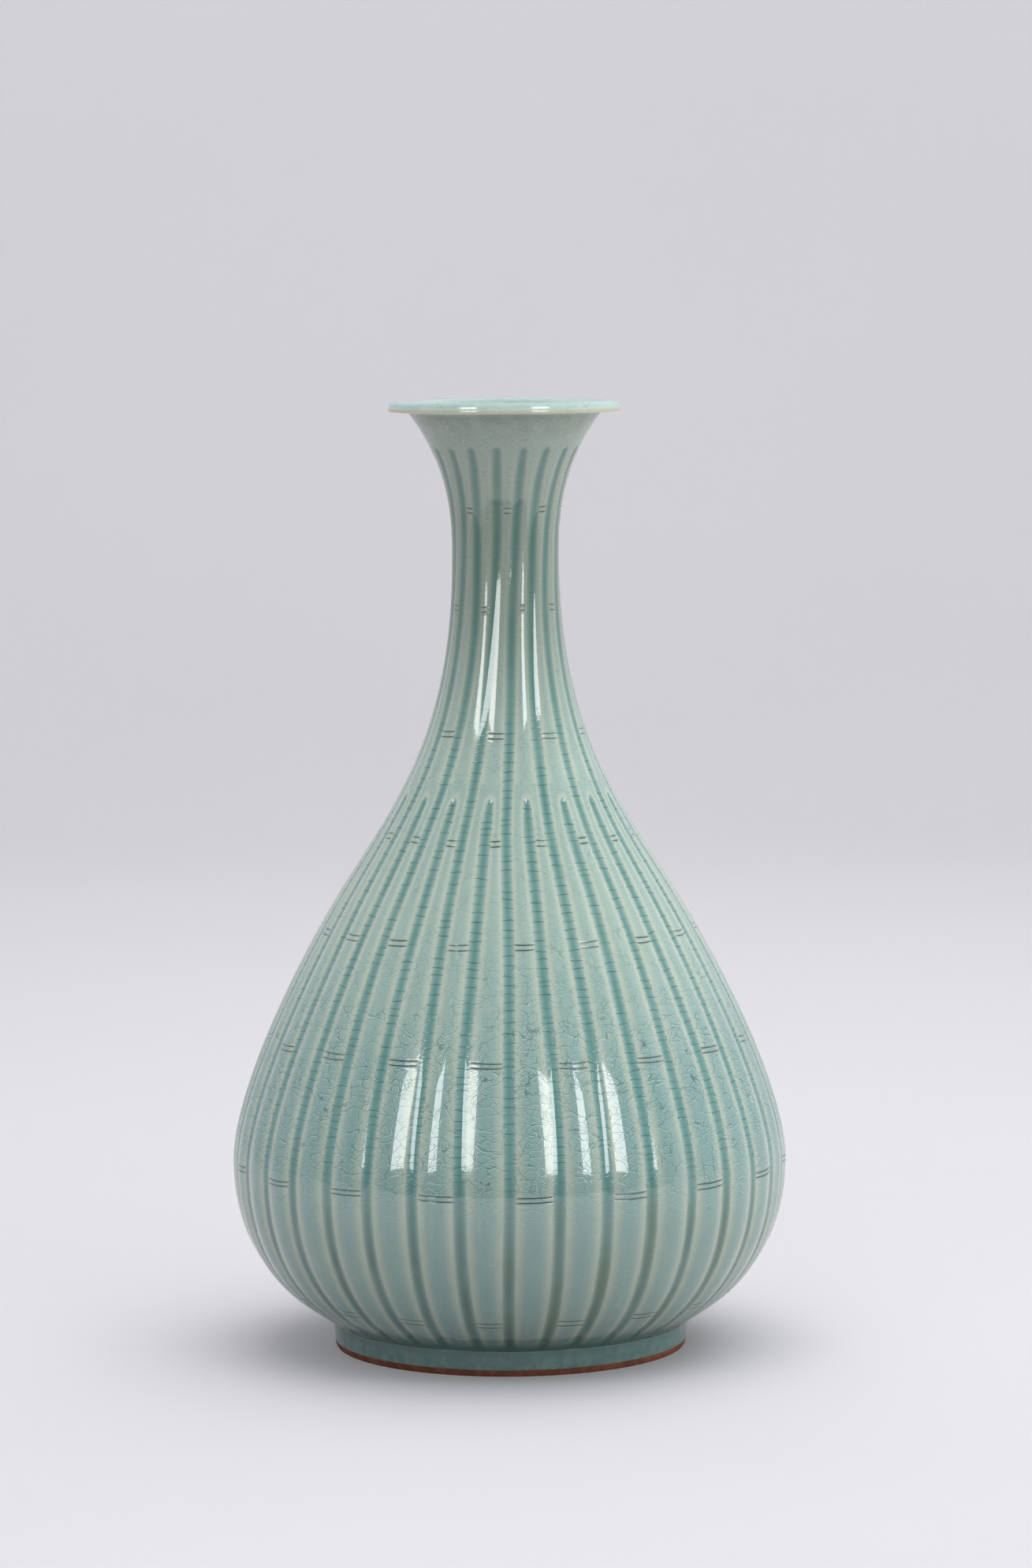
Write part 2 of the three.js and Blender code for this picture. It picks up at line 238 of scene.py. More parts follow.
# Heights where the pools grow narrower and wider, shares of the rib ends, and distances below the tips
LOW_POOL_FALL = (50, 95)
NECK_POOL_RISE = (215, 290)
# Over the rib ends the pool mask is partly pooled glaze and partly painted shade.
END_POOL_AND_SHADE_LEAD = 0.4
END_POOL_AND_SHADE_RISE = (0.3, 0.95)
END_CREAM_FALL = (0, 0.7)
TIP_CREAM = 0.15
TIP_CREAM_RISE = (-2, 12)

rng = np.random.default_rng(SEED)


def lerp(a, b, t):
    return a + (b - a) * t


def smoothstep(x, low, high):
    t = np.clip((x - low) / (high - low), 0, 1)
    return t * t * (3 - 2 * t)


def direction(slope):
    """The unit direction (radius, height) that slopes by so many degrees from level."""
    angle = math.radians(slope)
    return np.array((math.cos(angle), math.sin(angle)))


def bezier(p0, p1, p2, p3, steps):
    """Points and unit tangents along a cubic curve."""
    t = np.linspace(0, 1, steps)[:, None]
    s = 1 - t
    points = s**3 * p0 + 3 * s * s * t * p1 + 3 * s * t * t * p2 + t**3 * p3
    tangents = s * s * (p1 - p0) + 2 * s * t * (p2 - p1) + t * t * (p3 - p2)
    return points, tangents / np.linalg.norm(tangents, axis=1)[:, None]


def arc(centre, size, start, end, count):
    """Points on an ellipse about a centre, angles in degrees from outwards to upwards."""
    angles = np.radians(np.linspace(start, end, count))
    return [(centre[0] + size[0] * math.cos(a), centre[1] + size[1] * math.sin(a)) for a in angles]


def stretch(low, low_direction, low_pull, high, high_direction, high_pull):
    """One stretch of the outline between two stations, drawn along the slope at each end."""
    low, high = np.array(low, float), np.array(high, float)
    rise = high[1] - low[1]
    after = low + low_direction * low_pull * rise
    before = high - high_direction * high_pull * rise
    return bezier(low, after, before, high, CURVE_STEPS)


def vase_outline():
    """Points and tangents of the crest outline, from the rib ends to the lip's underside."""
    upright = np.array((0.0, 1.0))
    inwards = direction(SHOULDER_SLOPE) * (-1, 1)
    rib_foot = (RIB_FOOT_RADIUS, FOOT_HEIGHT)
    belly = (BELLY_RADIUS, BELLY_Z)
    shoulder = (SHOULDER_RADIUS, SHOULDER_Z)
    waist = (NECK_RADIUS, NECK_Z)
    flare_end = (FLARE_RADIUS, LIP_UNDERSIDE_Z)
    stretches = (
        stretch(rib_foot, direction(FOOT_SLOPE), FOOT_PULL, belly, upright, BELLY_PULL_BELOW),
        stretch(belly, upright, BELLY_PULL_ABOVE, shoulder, inwards, SHOULDER_PULL_BELOW),
        stretch(shoulder, inwards, SHOULDER_PULL_ABOVE, waist, upright, NECK_PULL_BELOW),
        stretch(waist, upright, NECK_PULL_ABOVE, flare_end, direction(FLARE_SLOPE), FLARE_PULL),
    )
    points = np.concatenate([s[0] for s in stretches])
    tangents = np.concatenate([s[1] for s in stretches])
    return points, tangents


outline, outline_tangents = vase_outline()
inner_outline = outline + outline_tangents[:, ::-1] * (-WALL, WALL)


def outer_radius(z):
    return np.interp(z, outline[:, 1], outline[:, 0])


def inner_radius(z):
    return np.interp(z, inner_outline[:, 1], inner_outline[:, 0])


def by_radius(neck_value, belly_value, radius):
    return lerp(neck_value, belly_value, (radius - NECK_RADIUS) / (BELLY_RADIUS - NECK_RADIUS))


def lean_at(z):
    share = np.maximum(0, (z - LEAN_Z) / (TIP_Z - LEAN_Z))
    return LEAN * share**LEAN_POWER


# Hand variation of each groove
wander_phase = rng.uniform(0, FULL_TURN, (len(WANDER_WAVES), GROOVES))
wander_size = rng.uniform(WANDER_LEAST, 1, GROOVES) * WANDER
width_variation = rng.uniform(*WIDTH_RANGE, GROOVES)


def groove_end(groove):
    """Where a groove ends above, with the length of its rounded cap and the share of its width there.
    Every other groove ends at the shoulder, between two that come down the neck."""
    if groove % NECK_STEP:
        return SPLIT_Z, SPLIT_CAP, SPLIT_WIDTH_SHARE
    return TIP_Z, TIP_CAP, TIP_WIDTH_SHARE


def groove_angle(groove, z):
    """The middle of a groove, which wanders a little as it does under the hand."""
    slow = np.sin(WANDER_WAVES[0] * z + wander_phase[0, groove])
    quick = np.sin(WANDER_WAVES[1] * z + wander_phase[1, groove])
    return groove * PITCH + wander_size[groove] * (slow + quick / 2) / outer_radius(z)


def groove_half_width(groove, z):
    """Half the groove's width in millimetres, narrower towards its upper end."""
    width = by_radius(GROOVE_WIDTH_NECK, GROOVE_WIDTH_BELLY, outer_radius(z)) * width_variation[groove]
    end, _, end_share = groove_end(groove)
    return width / 2 * lerp(end_share, 1, smoothstep(end - z, 0, END_WIDENING))


def groove_bowl(groove, angle, z):
    """How far a point lies in a groove: 1 on its floor, 0 on the rib, with a rounded upper end.
    Also the distance from the groove's middle in half widths."""
    end, cap, _ = groove_end(groove)
    across = (angle - groove_angle(groove, z)) * outer_radius(z) / groove_half_width(groove, z)
    along = np.maximum(0, z - (end - cap)) / cap
    away = np.hypot(across, along)
    return 1 - smoothstep(away, GROOVE_FLOOR_SHARE, 1), away


def groove_depth(groove, z):
    """How deep a groove is cut below the ribs' rounded sections: more at its blunt upper end."""
    end, _, _ = groove_end(groove)
    return lerp(END_DEPTH, GROOVE_DEPTH, smoothstep(end - z, 0, END_FADE))


def column_places(step):
    """The columns of a section as (groove, kind, place): across a groove, or on the rib after it."""
    places = []
    for groove in range(0, GROOVES, step):
        places += [(groove, "groove", place) for place in GROOVE_PLACES]
        places += [(groove, "rib", place) for place in RIB_PLACES]
    return places


def next_groove(groove, step):
    """The following groove, and the turn to add to its angle so that it lies ahead."""
    following = (groove + step) % GROOVES
    return following, FULL_TURN if following < groove else 0


def column_angle(place, step, z):
    """A column's angle at each height, before the lean."""
    groove, kind, share = place
    half = groove_half_width(groove, z) / outer_radius(z)
    middle = groove_angle(groove, z)
    if kind == "groove":
        return middle + share * half
    following, turn = next_groove(groove, step)
    half_following = groove_half_width(following, z) / outer_radius(z)
    start = middle + GROOVE_PLACES[-1] * half
    end = groove_angle(following, z) + turn + GROOVE_PLACES[0] * half_following
    return lerp(start, end, share)


def node_lines_of(heights, step):
    """Each pair of node lines as (height, first groove of its rib, grooves to the next, hand variation)."""
    found = []
    for level, height in enumerate(heights):
        for rib in range(1 - level % 2, GROOVES // step, 2):
            hand = {name: rng.uniform(*limits) for name, limits in HAND_RANGES.items()}
            found.append((height, rib * step, step, hand))
    return found


# The carving of the neck and of the body: the step from groove to groove, and the node lines
NECK_CARVING = (NECK_STEP, NECK_NODES, node_lines_of(NECK_NODES, NECK_STEP))
BODY_CARVING = (BODY_STEP, BODY_NODES, node_lines_of(BODY_NODES, BODY_STEP))


def across_rib(first, step, angle, z):
    """Where a point lies between the middles of two grooves, from 0 to 1."""
    following, turn = next_groove(first, step)
    start = groove_angle(first, z)
    return (angle - start) / (groove_angle(following, z) + turn - start)


def crown_fall(first, step, angle, z):
    """How far a rib's section has fallen: 0 on its round middle, down even flanks, to 1 in its grooves."""
    turn = FULL_TURN if first < 0 else 0
    share = across_rib(first % GROOVES, step, angle + turn, z)
    pitch = step * PITCH * outer_radius(z)
    away = np.clip(np.minimum(share, 1 - share), 0, RIB_MIDDLE) * pitch
    run = np.hypot(away, GROOVE_FILLET) - GROOVE_FILLET
    full = np.hypot(pitch / 2, GROOVE_FILLET) - GROOVE_FILLET
    top = RIB_TOP_ROUND * full
    return (np.hypot(full - run, top) - top) / (np.hypot(full, top) - top)


def rib_columns(lines, places):
    """For each pair of node lines, the columns from the middle of its rib's first groove to the next."""
    for height, first, step, hand in lines:
        chosen = []
        for column, (groove, kind, share) in enumerate(places):
            ahead = (groove - first) % GROOVES
            inside = ahead < step and (ahead > 0 or kind == "rib" or share > 0)
            if inside or (ahead == step and kind == "groove" and share < 0):
                chosen.append(column)
        yield height, first, step, hand, np.array(chosen)


def row_heights(low, high, nodes):
    """Heights of a section's rows: close where the carving is fine, wide apart elsewhere."""
    z = np.linspace(low, high, HEIGHT_SAMPLES)
    fine = [(NODE_ROW_SPACING, np.abs(z - height), NODE_BAND, NODE_BAND + NODE_ROW_BLEND) for height in nodes]
    for end in (TIP_Z, SPLIT_Z):
        fine.append((TIP_ROW_SPACING, np.maximum(z - end, (end - TIP_ROW_REACH) - z), 0, ROW_BLEND))
    fine.append((RIB_END_ROW_SPACING, z - RIB_END_Z, 0, ROW_BLEND))
    fine.append((SEAM_ROW_SPACING, np.minimum(z - low, high - z), SEAM_ROW_REACH, ROW_BLEND))
    spacing = np.full_like(z, ROW_SPACING)
    for closest, off, near, far in fine:
        spacing = np.minimum(spacing, lerp(closest, ROW_SPACING, smoothstep(off, near, far)))
    count = np.concatenate(([0], np.cumsum((z[1] - z[0]) / spacing[1:])))
    rows = int(round(count[-1]))
    return np.interp(np.linspace(0, count[-1], rows + 1), count, z)


def turned(radius, turn, z):
    """Points at radii and heights, turned from the front about the axis."""
    return np.stack((radius * np.sin(turn), -radius * np.cos(turn), z), axis=2)


def blank_masks(shape, **values):
    """Masks of a plain stretch, with a value for each that isn't zero."""
    return {name: np.full(shape, float(values.get(name, 0))) for name in MASKS}


class CarvedWall:
    """The outer face of a fluted section: its rows and columns, its carving and the finish's masks."""

    def __init__(self, low, high, step, nodes, lines):
        self.step = step
        self.rows = row_heights(low, high, nodes)
        self.places = column_places(step)
        self.ribs = list(rib_columns(lines, self.places))
        self.z = np.repeat(self.rows[:, None], len(self.places), axis=1)
        self.angle = np.stack([column_angle(place, step, self.rows) for place in self.places], axis=1)
        self.bend_rows()
        self.z = np.clip(self.z, low, high)
        self.radius = outer_radius(self.z)
        self.depth = np.zeros_like(self.z)
        self.masks = blank_masks(self.z.shape)
        self.cut_grooves()
        self.round_ribs()
        self.cut_node_lines()
        self.round_rib_ends()
        self.turn = self.angle + lean_at(self.z)
        self.points = turned(self.radius - self.depth, self.turn, self.z)

    def across(self, first, step, columns):
        """Where the points on some columns lie between a rib's two grooves, from 0 to 1."""
        angle = self.angle[:, columns]
        angle = np.where(angle < first * PITCH - PITCH / 2, angle + FULL_TURN, angle)
        return across_rib(first, step, angle, self.z[:, columns])

    def bend_rows(self):
        """Lets the rows follow each pair of node lines, so that the lines stay crisp."""
        for height, first, step, hand, columns in self.ribs:
            share = self.across(first, step, columns)
            side = 2 * share - 1
            bend = hand["rise"] + hand["tilt"] * side + hand["sag"] * (side**2 - SAG_LEVEL)
            inside = smoothstep(share, 0, BEND_MARGIN) * smoothstep(1 - share, 0, BEND_MARGIN)
            near = 1 - smoothstep(np.abs(self.rows - height), NODE_BAND, NODE_FADE)
            self.z[:, columns] += bend * inside * near[:, None]

    def raise_mask(self, name, columns, value):
        """Takes a mask up to a value where it is lower."""
        mask = self.masks[name]
        mask[:, columns] = np.maximum(mask[:, columns], value)

    def cut_grooves(self):
        """Cuts the grooves on both sides of each column, and notes which of them is nearer."""
        for column, (groove, kind, share) in enumerate(self.places):
            following = (groove + self.step) % GROOVES
            for near in (groove, following):
                self.cut_groove(column, near, FULL_TURN if near == 0 and groove > 0 else 0)
            past_middle = kind == "rib" and share > RIB_MIDDLE
            self.masks["groove"][:, column] = following if past_middle else groove

    def cut_groove(self, column, groove, turn):
        """Cuts one groove into a column, which may lie a full turn ahead of it."""
        z = self.z[:, column]
        bowl, away = groove_bowl(groove, self.angle[:, column] - turn, z)
        half = groove_half_width(groove, z)
        rib_half = self.step * PITCH * outer_radius(z) / 2 - half
        edge = (away - 1) * half / rib_half
        low_down = 1 - smoothstep(z, *LOW_POOL_FALL)
        pool_edge = 1 + POOL_WIDER_LOW * low_down + POOL_WIDER_NECK * smoothstep(z, *NECK_POOL_RISE)
        self.raise_mask("pool", column, 1 - smoothstep(away, POOL_CORE, pool_edge))
        self.raise_mask("cream", column, smoothstep(away, *CREAM_RISE) * (1 - smoothstep(edge, *CREAM_FALL)))
        self.raise_mask("tick", column, 1 - smoothstep(away, *TICK_FALL))
        self.depth[:, column] = np.maximum(self.depth[:, column], bowl * groove_depth(groove, z))

    def round_ribs(self):
        """Lets the ribs fall away, round across, from their middles to the grooves on both sides."""
        split = smoothstep(SPLIT_Z - self.z, 0, CROWN_BLEND)
        crown = by_radius(RIB_CROWN_NECK, RIB_CROWN_BELLY, self.radius)
        crown = crown * smoothstep(TIP_Z - self.z, 0, END_WIDENING)
        for column, (groove, kind, share) in enumerate(self.places):
            first = groove - 1 if kind == "groove" and share < 0 else groove
            angle, z = self.angle[:, column], self.z[:, column]
            wide = crown_fall(first - first % NECK_STEP, NECK_STEP, angle, z)
            narrow = crown_fall(first, BODY_STEP, angle, z)
            self.depth[:, column] += crown[:, column] * lerp(wide, narrow, split[:, column])

    def between_grooves(self, share, step, columns):
        """1 on a rib between its grooves, falling to 0 over their edges."""
        radius = self.radius[:, columns]
        half = by_radius(GROOVE_WIDTH_NECK, GROOVE_WIDTH_BELLY, radius) / 2
        end = np.minimum(share, 1 - share) * (step * PITCH * radius) - half
        return smoothstep(end, -LINE_END_SOFTNESS * half, LINE_END_SOFTNESS * half)

    def cut_node_lines(self):
        """Cuts each pair of node lines, with the low burr beside each line."""
        for height, first, step, hand, columns in self.ribs:
            share = self.across(first, step, columns)
            inside = self.between_grooves(share, step, columns)
            for side in (-1, 1):
                line = side * (hand["gap"] / 2 + hand["lean"] * (2 * share - 1))
                off = self.rows[:, None] - height - line
                cut = (1 - smoothstep(np.abs(off), LINE_BOTTOM, LINE_HALF_WIDTH)) * inside
                burr = np.exp(-(((off + LINE_BURR_DROP) / LINE_BURR_WIDTH) ** 2)) * inside
                self.depth[:, columns] += hand["depth"] * (LINE_DEPTH * cut - LINE_BURR * burr)
                self.raise_mask("line", columns, np.clip(cut * hand["depth"], 0, 1))

    def round_rib_ends(self):
        """Rounds the ribs off over the foot and darkens their ends: partly pooled glaze, partly painted shade
        where they overhang the foot.
        """
        down = np.clip((RIB_END_Z - self.z) / RIB_END_HEIGHT, 0, 1)
        round_off = 1 - np.sqrt(1 - np.minimum(down, RIB_END_STOP) ** 2)
        relief = lerp(1, RIB_END_RELIEF, smoothstep(down, *RIB_END_FLATTENS))
        self.depth = self.depth * relief + RIB_END_DEPTH * round_off
        # Painted shade and pooled glaze over the rib ends
        end_pool_and_shade = smoothstep(down + END_POOL_AND_SHADE_LEAD * self.masks["pool"], *END_POOL_AND_SHADE_RISE)
        self.raise_mask("pool", slice(None), end_pool_and_shade)
        below_tip = lerp(TIP_CREAM, 1, smoothstep(TIP_Z - self.z, *TIP_CREAM_RISE))
        self.masks["cream"] *= (1 - smoothstep(down, *END_CREAM_FALL)) * below_tip


def plain(profile, turn, **values):
    """Plain rows at radii and heights, on the columns' angles, with their masks."""
    profile = np.array(profile, float)
    radius, z = profile[:, :1], profile[:, 1:]
    points = turned(radius, turn, z * np.ones_like(turn))
    return points, blank_masks(points.shape[:2], **values)


def joined(*stretches):
    """Stretches of rows, one after the other, with their masks."""
    points = np.concatenate([s[0] for s in stretches])
    masks = {name: np.concatenate([s[1][name] for s in stretches]) for name in MASKS}
    return points, masks


def row_run(points):
    """How far along the section each row lies, from 0 to 1, with a last value for the way back."""
    lengths = np.linalg.norm(np.diff(points[:, 0], axis=0, append=points[:1, 0]), axis=1)
    run = np.concatenate(([0], np.cumsum(lengths)))
    return run / run[-1]


def grid_quads(points, closed):
    """Quads between neighbouring rows and columns, which go all the way round, and their places to bake."""
    rows, columns = points.shape[:2]
    i, j = np.meshgrid(np.arange(rows if closed else rows - 1), np.arange(columns), indexing="ij")
    low, high = i * columns, (i + 1) % rows * columns
    right = (j + 1) % columns
    quads = np.stack((low + j, low + right, high + right, high + j), -1)
    u = np.stack((j, j + 1, j + 1, j), -1) / columns
    v = row_run(points)[np.stack((i, i, i + 1, i + 1), -1)]
    return quads.reshape(-1, 4).tolist(), np.stack((u, v), -1).reshape(-1, 2)


def pole_fans(rows, columns):
    """Triangles from the first and the last row to two more points, and their places to bake."""
    around = np.arange(columns)
    following = (around + 1) % columns
    last_row = (rows - 1) * columns
    pole = np.full(columns, rows * columns)
    under = np.stack((following, around, pole), 1)
    over = np.stack((last_row + around, last_row + following, pole + 1), 1)
    u = np.stack((around, around + 1, around + 0.5), 1).ravel() / columns
    uv = [np.stack((u, np.full_like(u, v)), 1) for v in (0, 1)]
    return np.concatenate((under, over)).tolist(), np.concatenate(uv)


def section_mesh(name, points, masks, sharp_rows, poles):
    """A closed mesh from rows of points. With poles, its first and last rows are capped on the axis."""
    rows, columns = points.shape[:2]
    vertices = points.reshape(-1, 3)
    faces, uv = grid_quads(points, closed=not poles)
    capped = [0, -1] if poles else []
    if poles:
        fans, fan_uv = pole_fans(rows, columns)
        faces += fans
        uv = np.concatenate((uv, fan_uv))
        vertices = np.concatenate((vertices, [(0, 0, vertices[row, 2]) for row in capped]))
    mesh = bpy.data.meshes.new(name)
    mesh.from_pydata((vertices * MM).tolist(), [], faces)
    mesh.validate()
    layer = mesh.uv_layers.new(name=BAKE_MAP)
    layer.uv.foreach_set("vector", uv.astype(np.float32).ravel())
    for mask, values in masks.items():
        values = np.append(values, values.ravel()[capped])
        attribute = mesh.attributes.new(mask, "FLOAT", "POINT")
        attribute.data.foreach_set("value", values.astype(np.float32))
    mesh.shade_smooth()
    mark_sharp(mesh, sharp_rows, columns)
    return mesh


def mark_sharp(mesh, rows, columns):
    """Marks the edges along some rows as sharp."""
    ends = np.zeros(2 * len(mesh.edges), np.int32)
    mesh.edges.foreach_get("vertices", ends)
    of_row = ends.reshape(-1, 2) // columns
    sharp = (of_row[:, 0] == of_row[:, 1]) & np.isin(of_row[:, 0], rows)
    attribute = mesh.attributes.new("sharp_edge", "BOOLEAN", "EDGE")
    attribute.data.foreach_set("value", sharp)


# What the lights for the vase alone reach, and what those for the studio alone reach
vase_set = bpy.data.collections.new("vase_set")
studio_set = bpy.data.collections.new("studio_set")


def add_piece(name, mesh, material, slot, *nodes):
    """Puts a piece into the scene. It rides on the vase and stands for its nodes."""
    piece = bpy.data.objects.new(name, mesh)
    bpy.context.scene.collection.objects.link(piece)
    vase_set.objects.link(piece)
    mesh.materials.append(material)
    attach(piece, BODY)
    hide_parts(*nodes)


# The channels of the slip beads, from the beads' own places
SLIP_WIDTH = 1.6
CHANNEL_CLEARANCE = 0.5


def slip_channel(node, seam_z):
    """The channel's corners from its outer to its inner edge, on the rim at a seam."""
    low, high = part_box(node)
    outer = high.x / MM + CHANNEL_CLEARANCE
    inner = high.x / MM - SLIP_WIDTH - CHANNEL_CLEARANCE
    floor = low.z / MM - CHANNEL_CLEARANCE
    return [(outer, seam_z), (outer, floor), (inner, floor), (inner, seam_z)]


def inner_rows(low, high, count):
    """Radii and heights of the inner face, from its upper end to its lower end."""
    z = np.linspace(high, low, count)
    return list(zip(inner_radius(z), z))


def lower_body():
    """The bowl with its floor, closed on the axis under the floor and over it."""
    wall = CarvedWall(FOOT_HEIGHT, BELLY_SEAM_Z, *BODY_CARVING)
    under = [(radius, FOOT_HEIGHT) for radius in UNDERSIDE_RADII]
    rim = slip_channel("belly_seam_slip", BELLY_SEAM_Z)
    fillet_z = FLOOR_Z + FLOOR_FILLET
    inside = inner_rows(fillet_z, BELLY_SEAM_Z, BODY_INNER_ROWS)
    centre = (inner_radius(fillet_z) - FLOOR_FILLET, fillet_z)
    fillet = arc(centre, (FLOOR_FILLET, FLOOR_FILLET), start=0, end=-90, count=7)[1:]
    floor = [(radius, FLOOR_Z) for radius in FLOOR_RADII]
    points, masks = joined(
        plain(under, wall.turn[0], pool=UNDERSIDE_POOL),
        (wall.points, wall.masks),
        plain(rim + inside + fillet + floor, wall.turn[0], pool=INSIDE_POOL),
    )
    first, last = len(under), len(under) + len(wall.points) - 1
    sharp = [first, *range(last, last + len(rim) + 2)]
    return section_mesh("lower_body_wall", points, masks, sharp, poles=True)


def tube_section(name, low, high, carving, channel, inner_count):
    """A fluted section that is open at both ends."""
    wall = CarvedWall(low, high, *carving)
    rim = slip_channel(channel, high)
    points, masks = joined(
        (wall.points, wall.masks),
        plain(rim, wall.turn[-1]),
        plain(inner_rows(low, high, inner_count), wall.turn[0], pool=INSIDE_POOL),
    )
    last = len(wall.points) - 1
    sharp = [0, *range(last, last + len(rim) + 2), len(points) - 1]
    return section_mesh(name, points, masks, sharp, poles=False)


def upper_body():
    ends = (BELLY_SEAM_Z, SHOULDER_SEAM_Z)
    return tube_section("upper_body_wall", *ends, BODY_CARVING, "shoulder_seam_slip", BODY_INNER_ROWS)


def neck():
    ends = (SHOULDER_SEAM_Z, MOUTH_SEAM_Z)
    return tube_section("neck_wall", *ends, NECK_CARVING, "mouth_seam_slip", NECK_INNER_ROWS)


def round_turn():
    """The angles of the columns of a plain round section."""
    return np.arange(ROUND_COLUMNS) * FULL_TURN / ROUND_COLUMNS


def lip_edge():
    """The lip's outer face: a rounded lower edge, a slight step inwards, and a rounded shoulder."""
    step_z = LIP_UNDERSIDE_Z + LIP_EDGE_HEIGHT
    shoulder_z = step_z + LIP_STEP_HEIGHT
    low_centre = (LIP_RADIUS - LIP_EDGE_ROUND, step_z)
    low = arc(low_centre, (LIP_EDGE_ROUND, LIP_EDGE_HEIGHT), start=-90, end=0, count=9)
    z = np.linspace(step_z, shoulder_z, num=12)[1:-1]
    step = list(zip(LIP_RADIUS - LIP_STEP * smoothstep(z, step_z, shoulder_z), z))
    centre = (LIP_RADIUS - LIP_STEP - LIP_SHOULDER, shoulder_z)
    size = (LIP_SHOULDER, LIP_TOP_Z - shoulder_z)
    return low + step + arc(centre, size, start=0, end=90, count=11)


def mouth_funnel():
    """The inner face, from the lip's crest down to the seam, in line with the wall below."""
    crest_radius = LIP_RADIUS - LIP_CROWN_WIDTH
    seam = np.array((inner_radius(MOUTH_SEAM_Z), MOUTH_SEAM_Z))
    at_seam = np.argmin(np.abs(inner_outline[:, 1] - MOUTH_SEAM_Z))
    points, _ = bezier(
        np.array((crest_radius, LIP_TOP_Z)),
        np.array((crest_radius - FUNNEL_PULL_ABOVE, LIP_TOP_Z)),
        seam + outline_tangents[at_seam] * FUNNEL_PULL_BELOW,
        seam,
        steps=22,
    )
    return points


def mouth():
    """The flare, the lip and the funnel."""
    turn = round_turn()
    flare_z = np.linspace(MOUTH_SEAM_Z, LIP_UNDERSIDE_Z, num=24)
    flare = list(zip(outer_radius(flare_z), flare_z))
    under_end = LIP_RADIUS - LIP_EDGE_ROUND
    under = [(lerp(FLARE_RADIUS, under_end, share), LIP_UNDERSIDE_Z) for share in LIP_UNDER_SHARES]
    edge = lip_edge()
    edge_points, edge_masks = plain(edge, turn)
    edge_share = np.array([(z - LIP_UNDERSIDE_Z) / LIP_THICKNESS for _, z in edge])
    edge_masks["cream"] += (1 - smoothstep(edge_share, *LIP_CREAM_FALL))[:, None]
    points, masks = joined(
        plain(flare, turn),
        plain(under, turn, pool=INSIDE_POOL),
        (edge_points, edge_masks),
        plain(mouth_funnel(), turn, funnel=1),
    )
    sharp = [0, len(flare) - 1, len(points) - 1]
    return section_mesh("mouth_wall", points, masks, sharp, poles=False)


def foot_bevel(low_radius):
    """The bare bevel, rounded up from the underside."""
    z = np.linspace(0, FOOT_BEVEL_HEIGHT, num=5)[1:]
    return list(zip(lerp(low_radius, FOOT_LOW_RADIUS, np.sqrt(z / FOOT_BEVEL_HEIGHT)), z))


def foot_wall():
    """The tapered glazed wall and its rounded upper edge."""
    top = FOOT_HEIGHT - FOOT_TOP_ROUND
    z = np.linspace(FOOT_BEVEL_HEIGHT, top, num=10)[1:]
    radius = lerp(FOOT_LOW_RADIUS, FOOT_TOP_RADIUS, (z - FOOT_BEVEL_HEIGHT) / (top - FOOT_BEVEL_HEIGHT))
    centre = (FOOT_TOP_RADIUS - FOOT_TOP_ROUND, top)
    edge = arc(centre, (FOOT_TOP_ROUND, FOOT_TOP_ROUND), start=0, end=90, count=7)
    return list(zip(radius, z)) + edge[1:]


def foot_ring():
    """The ring: its underside, its outer face, its rim with the channel, and its inner face."""
    turn = round_turn()
    inner = FOOT_TOP_RADIUS - FOOT_RING_WIDTH
    bevel_foot = FOOT_LOW_RADIUS - FOOT_BEVEL_DEPTH
    corner_radius = inner + FOOT_INNER_ROUND
    bottom = [(radius, 0) for radius in np.linspace(corner_radius, bevel_foot, num=5)]
    bevel = foot_bevel(bevel_foot)
    wall = foot_wall()
    rim = slip_channel("foot_seam_slip", FOOT_HEIGHT)
    inside = [(inner, z) for z in np.linspace(FOOT_HEIGHT, FOOT_INNER_ROUND, num=6)]
    corner_size = (FOOT_INNER_ROUND, FOOT_INNER_ROUND)
    corner = arc((corner_radius, FOOT_INNER_ROUND), corner_size, start=180, end=270, count=6)
    profile = bottom + bevel + wall + rim + inside + corner[1:-1]
    points, masks = plain(profile, turn, pool=FOOT_POOL)
    wall_start = len(bottom) + len(bevel)
    bare = np.ones(len(profile))
    bare[wall_start:len(profile) - len(corner) - 1] = 0
    masks["bare"] = np.repeat(bare[:, None], len(turn), axis=1)
    rim_start = wall_start + len(wall)
    sharp = [len(bottom) - 1, *range(rim_start, rim_start + len(rim) + 1)]
    return section_mesh("foot_ring_wall", points, masks, sharp, poles=False)


# Sockets of the colours in a node that mixes two values, among its sockets for other kinds of value
MIX_FIRST = 6
MIX_SECOND = 7
MIX_RESULT = 2


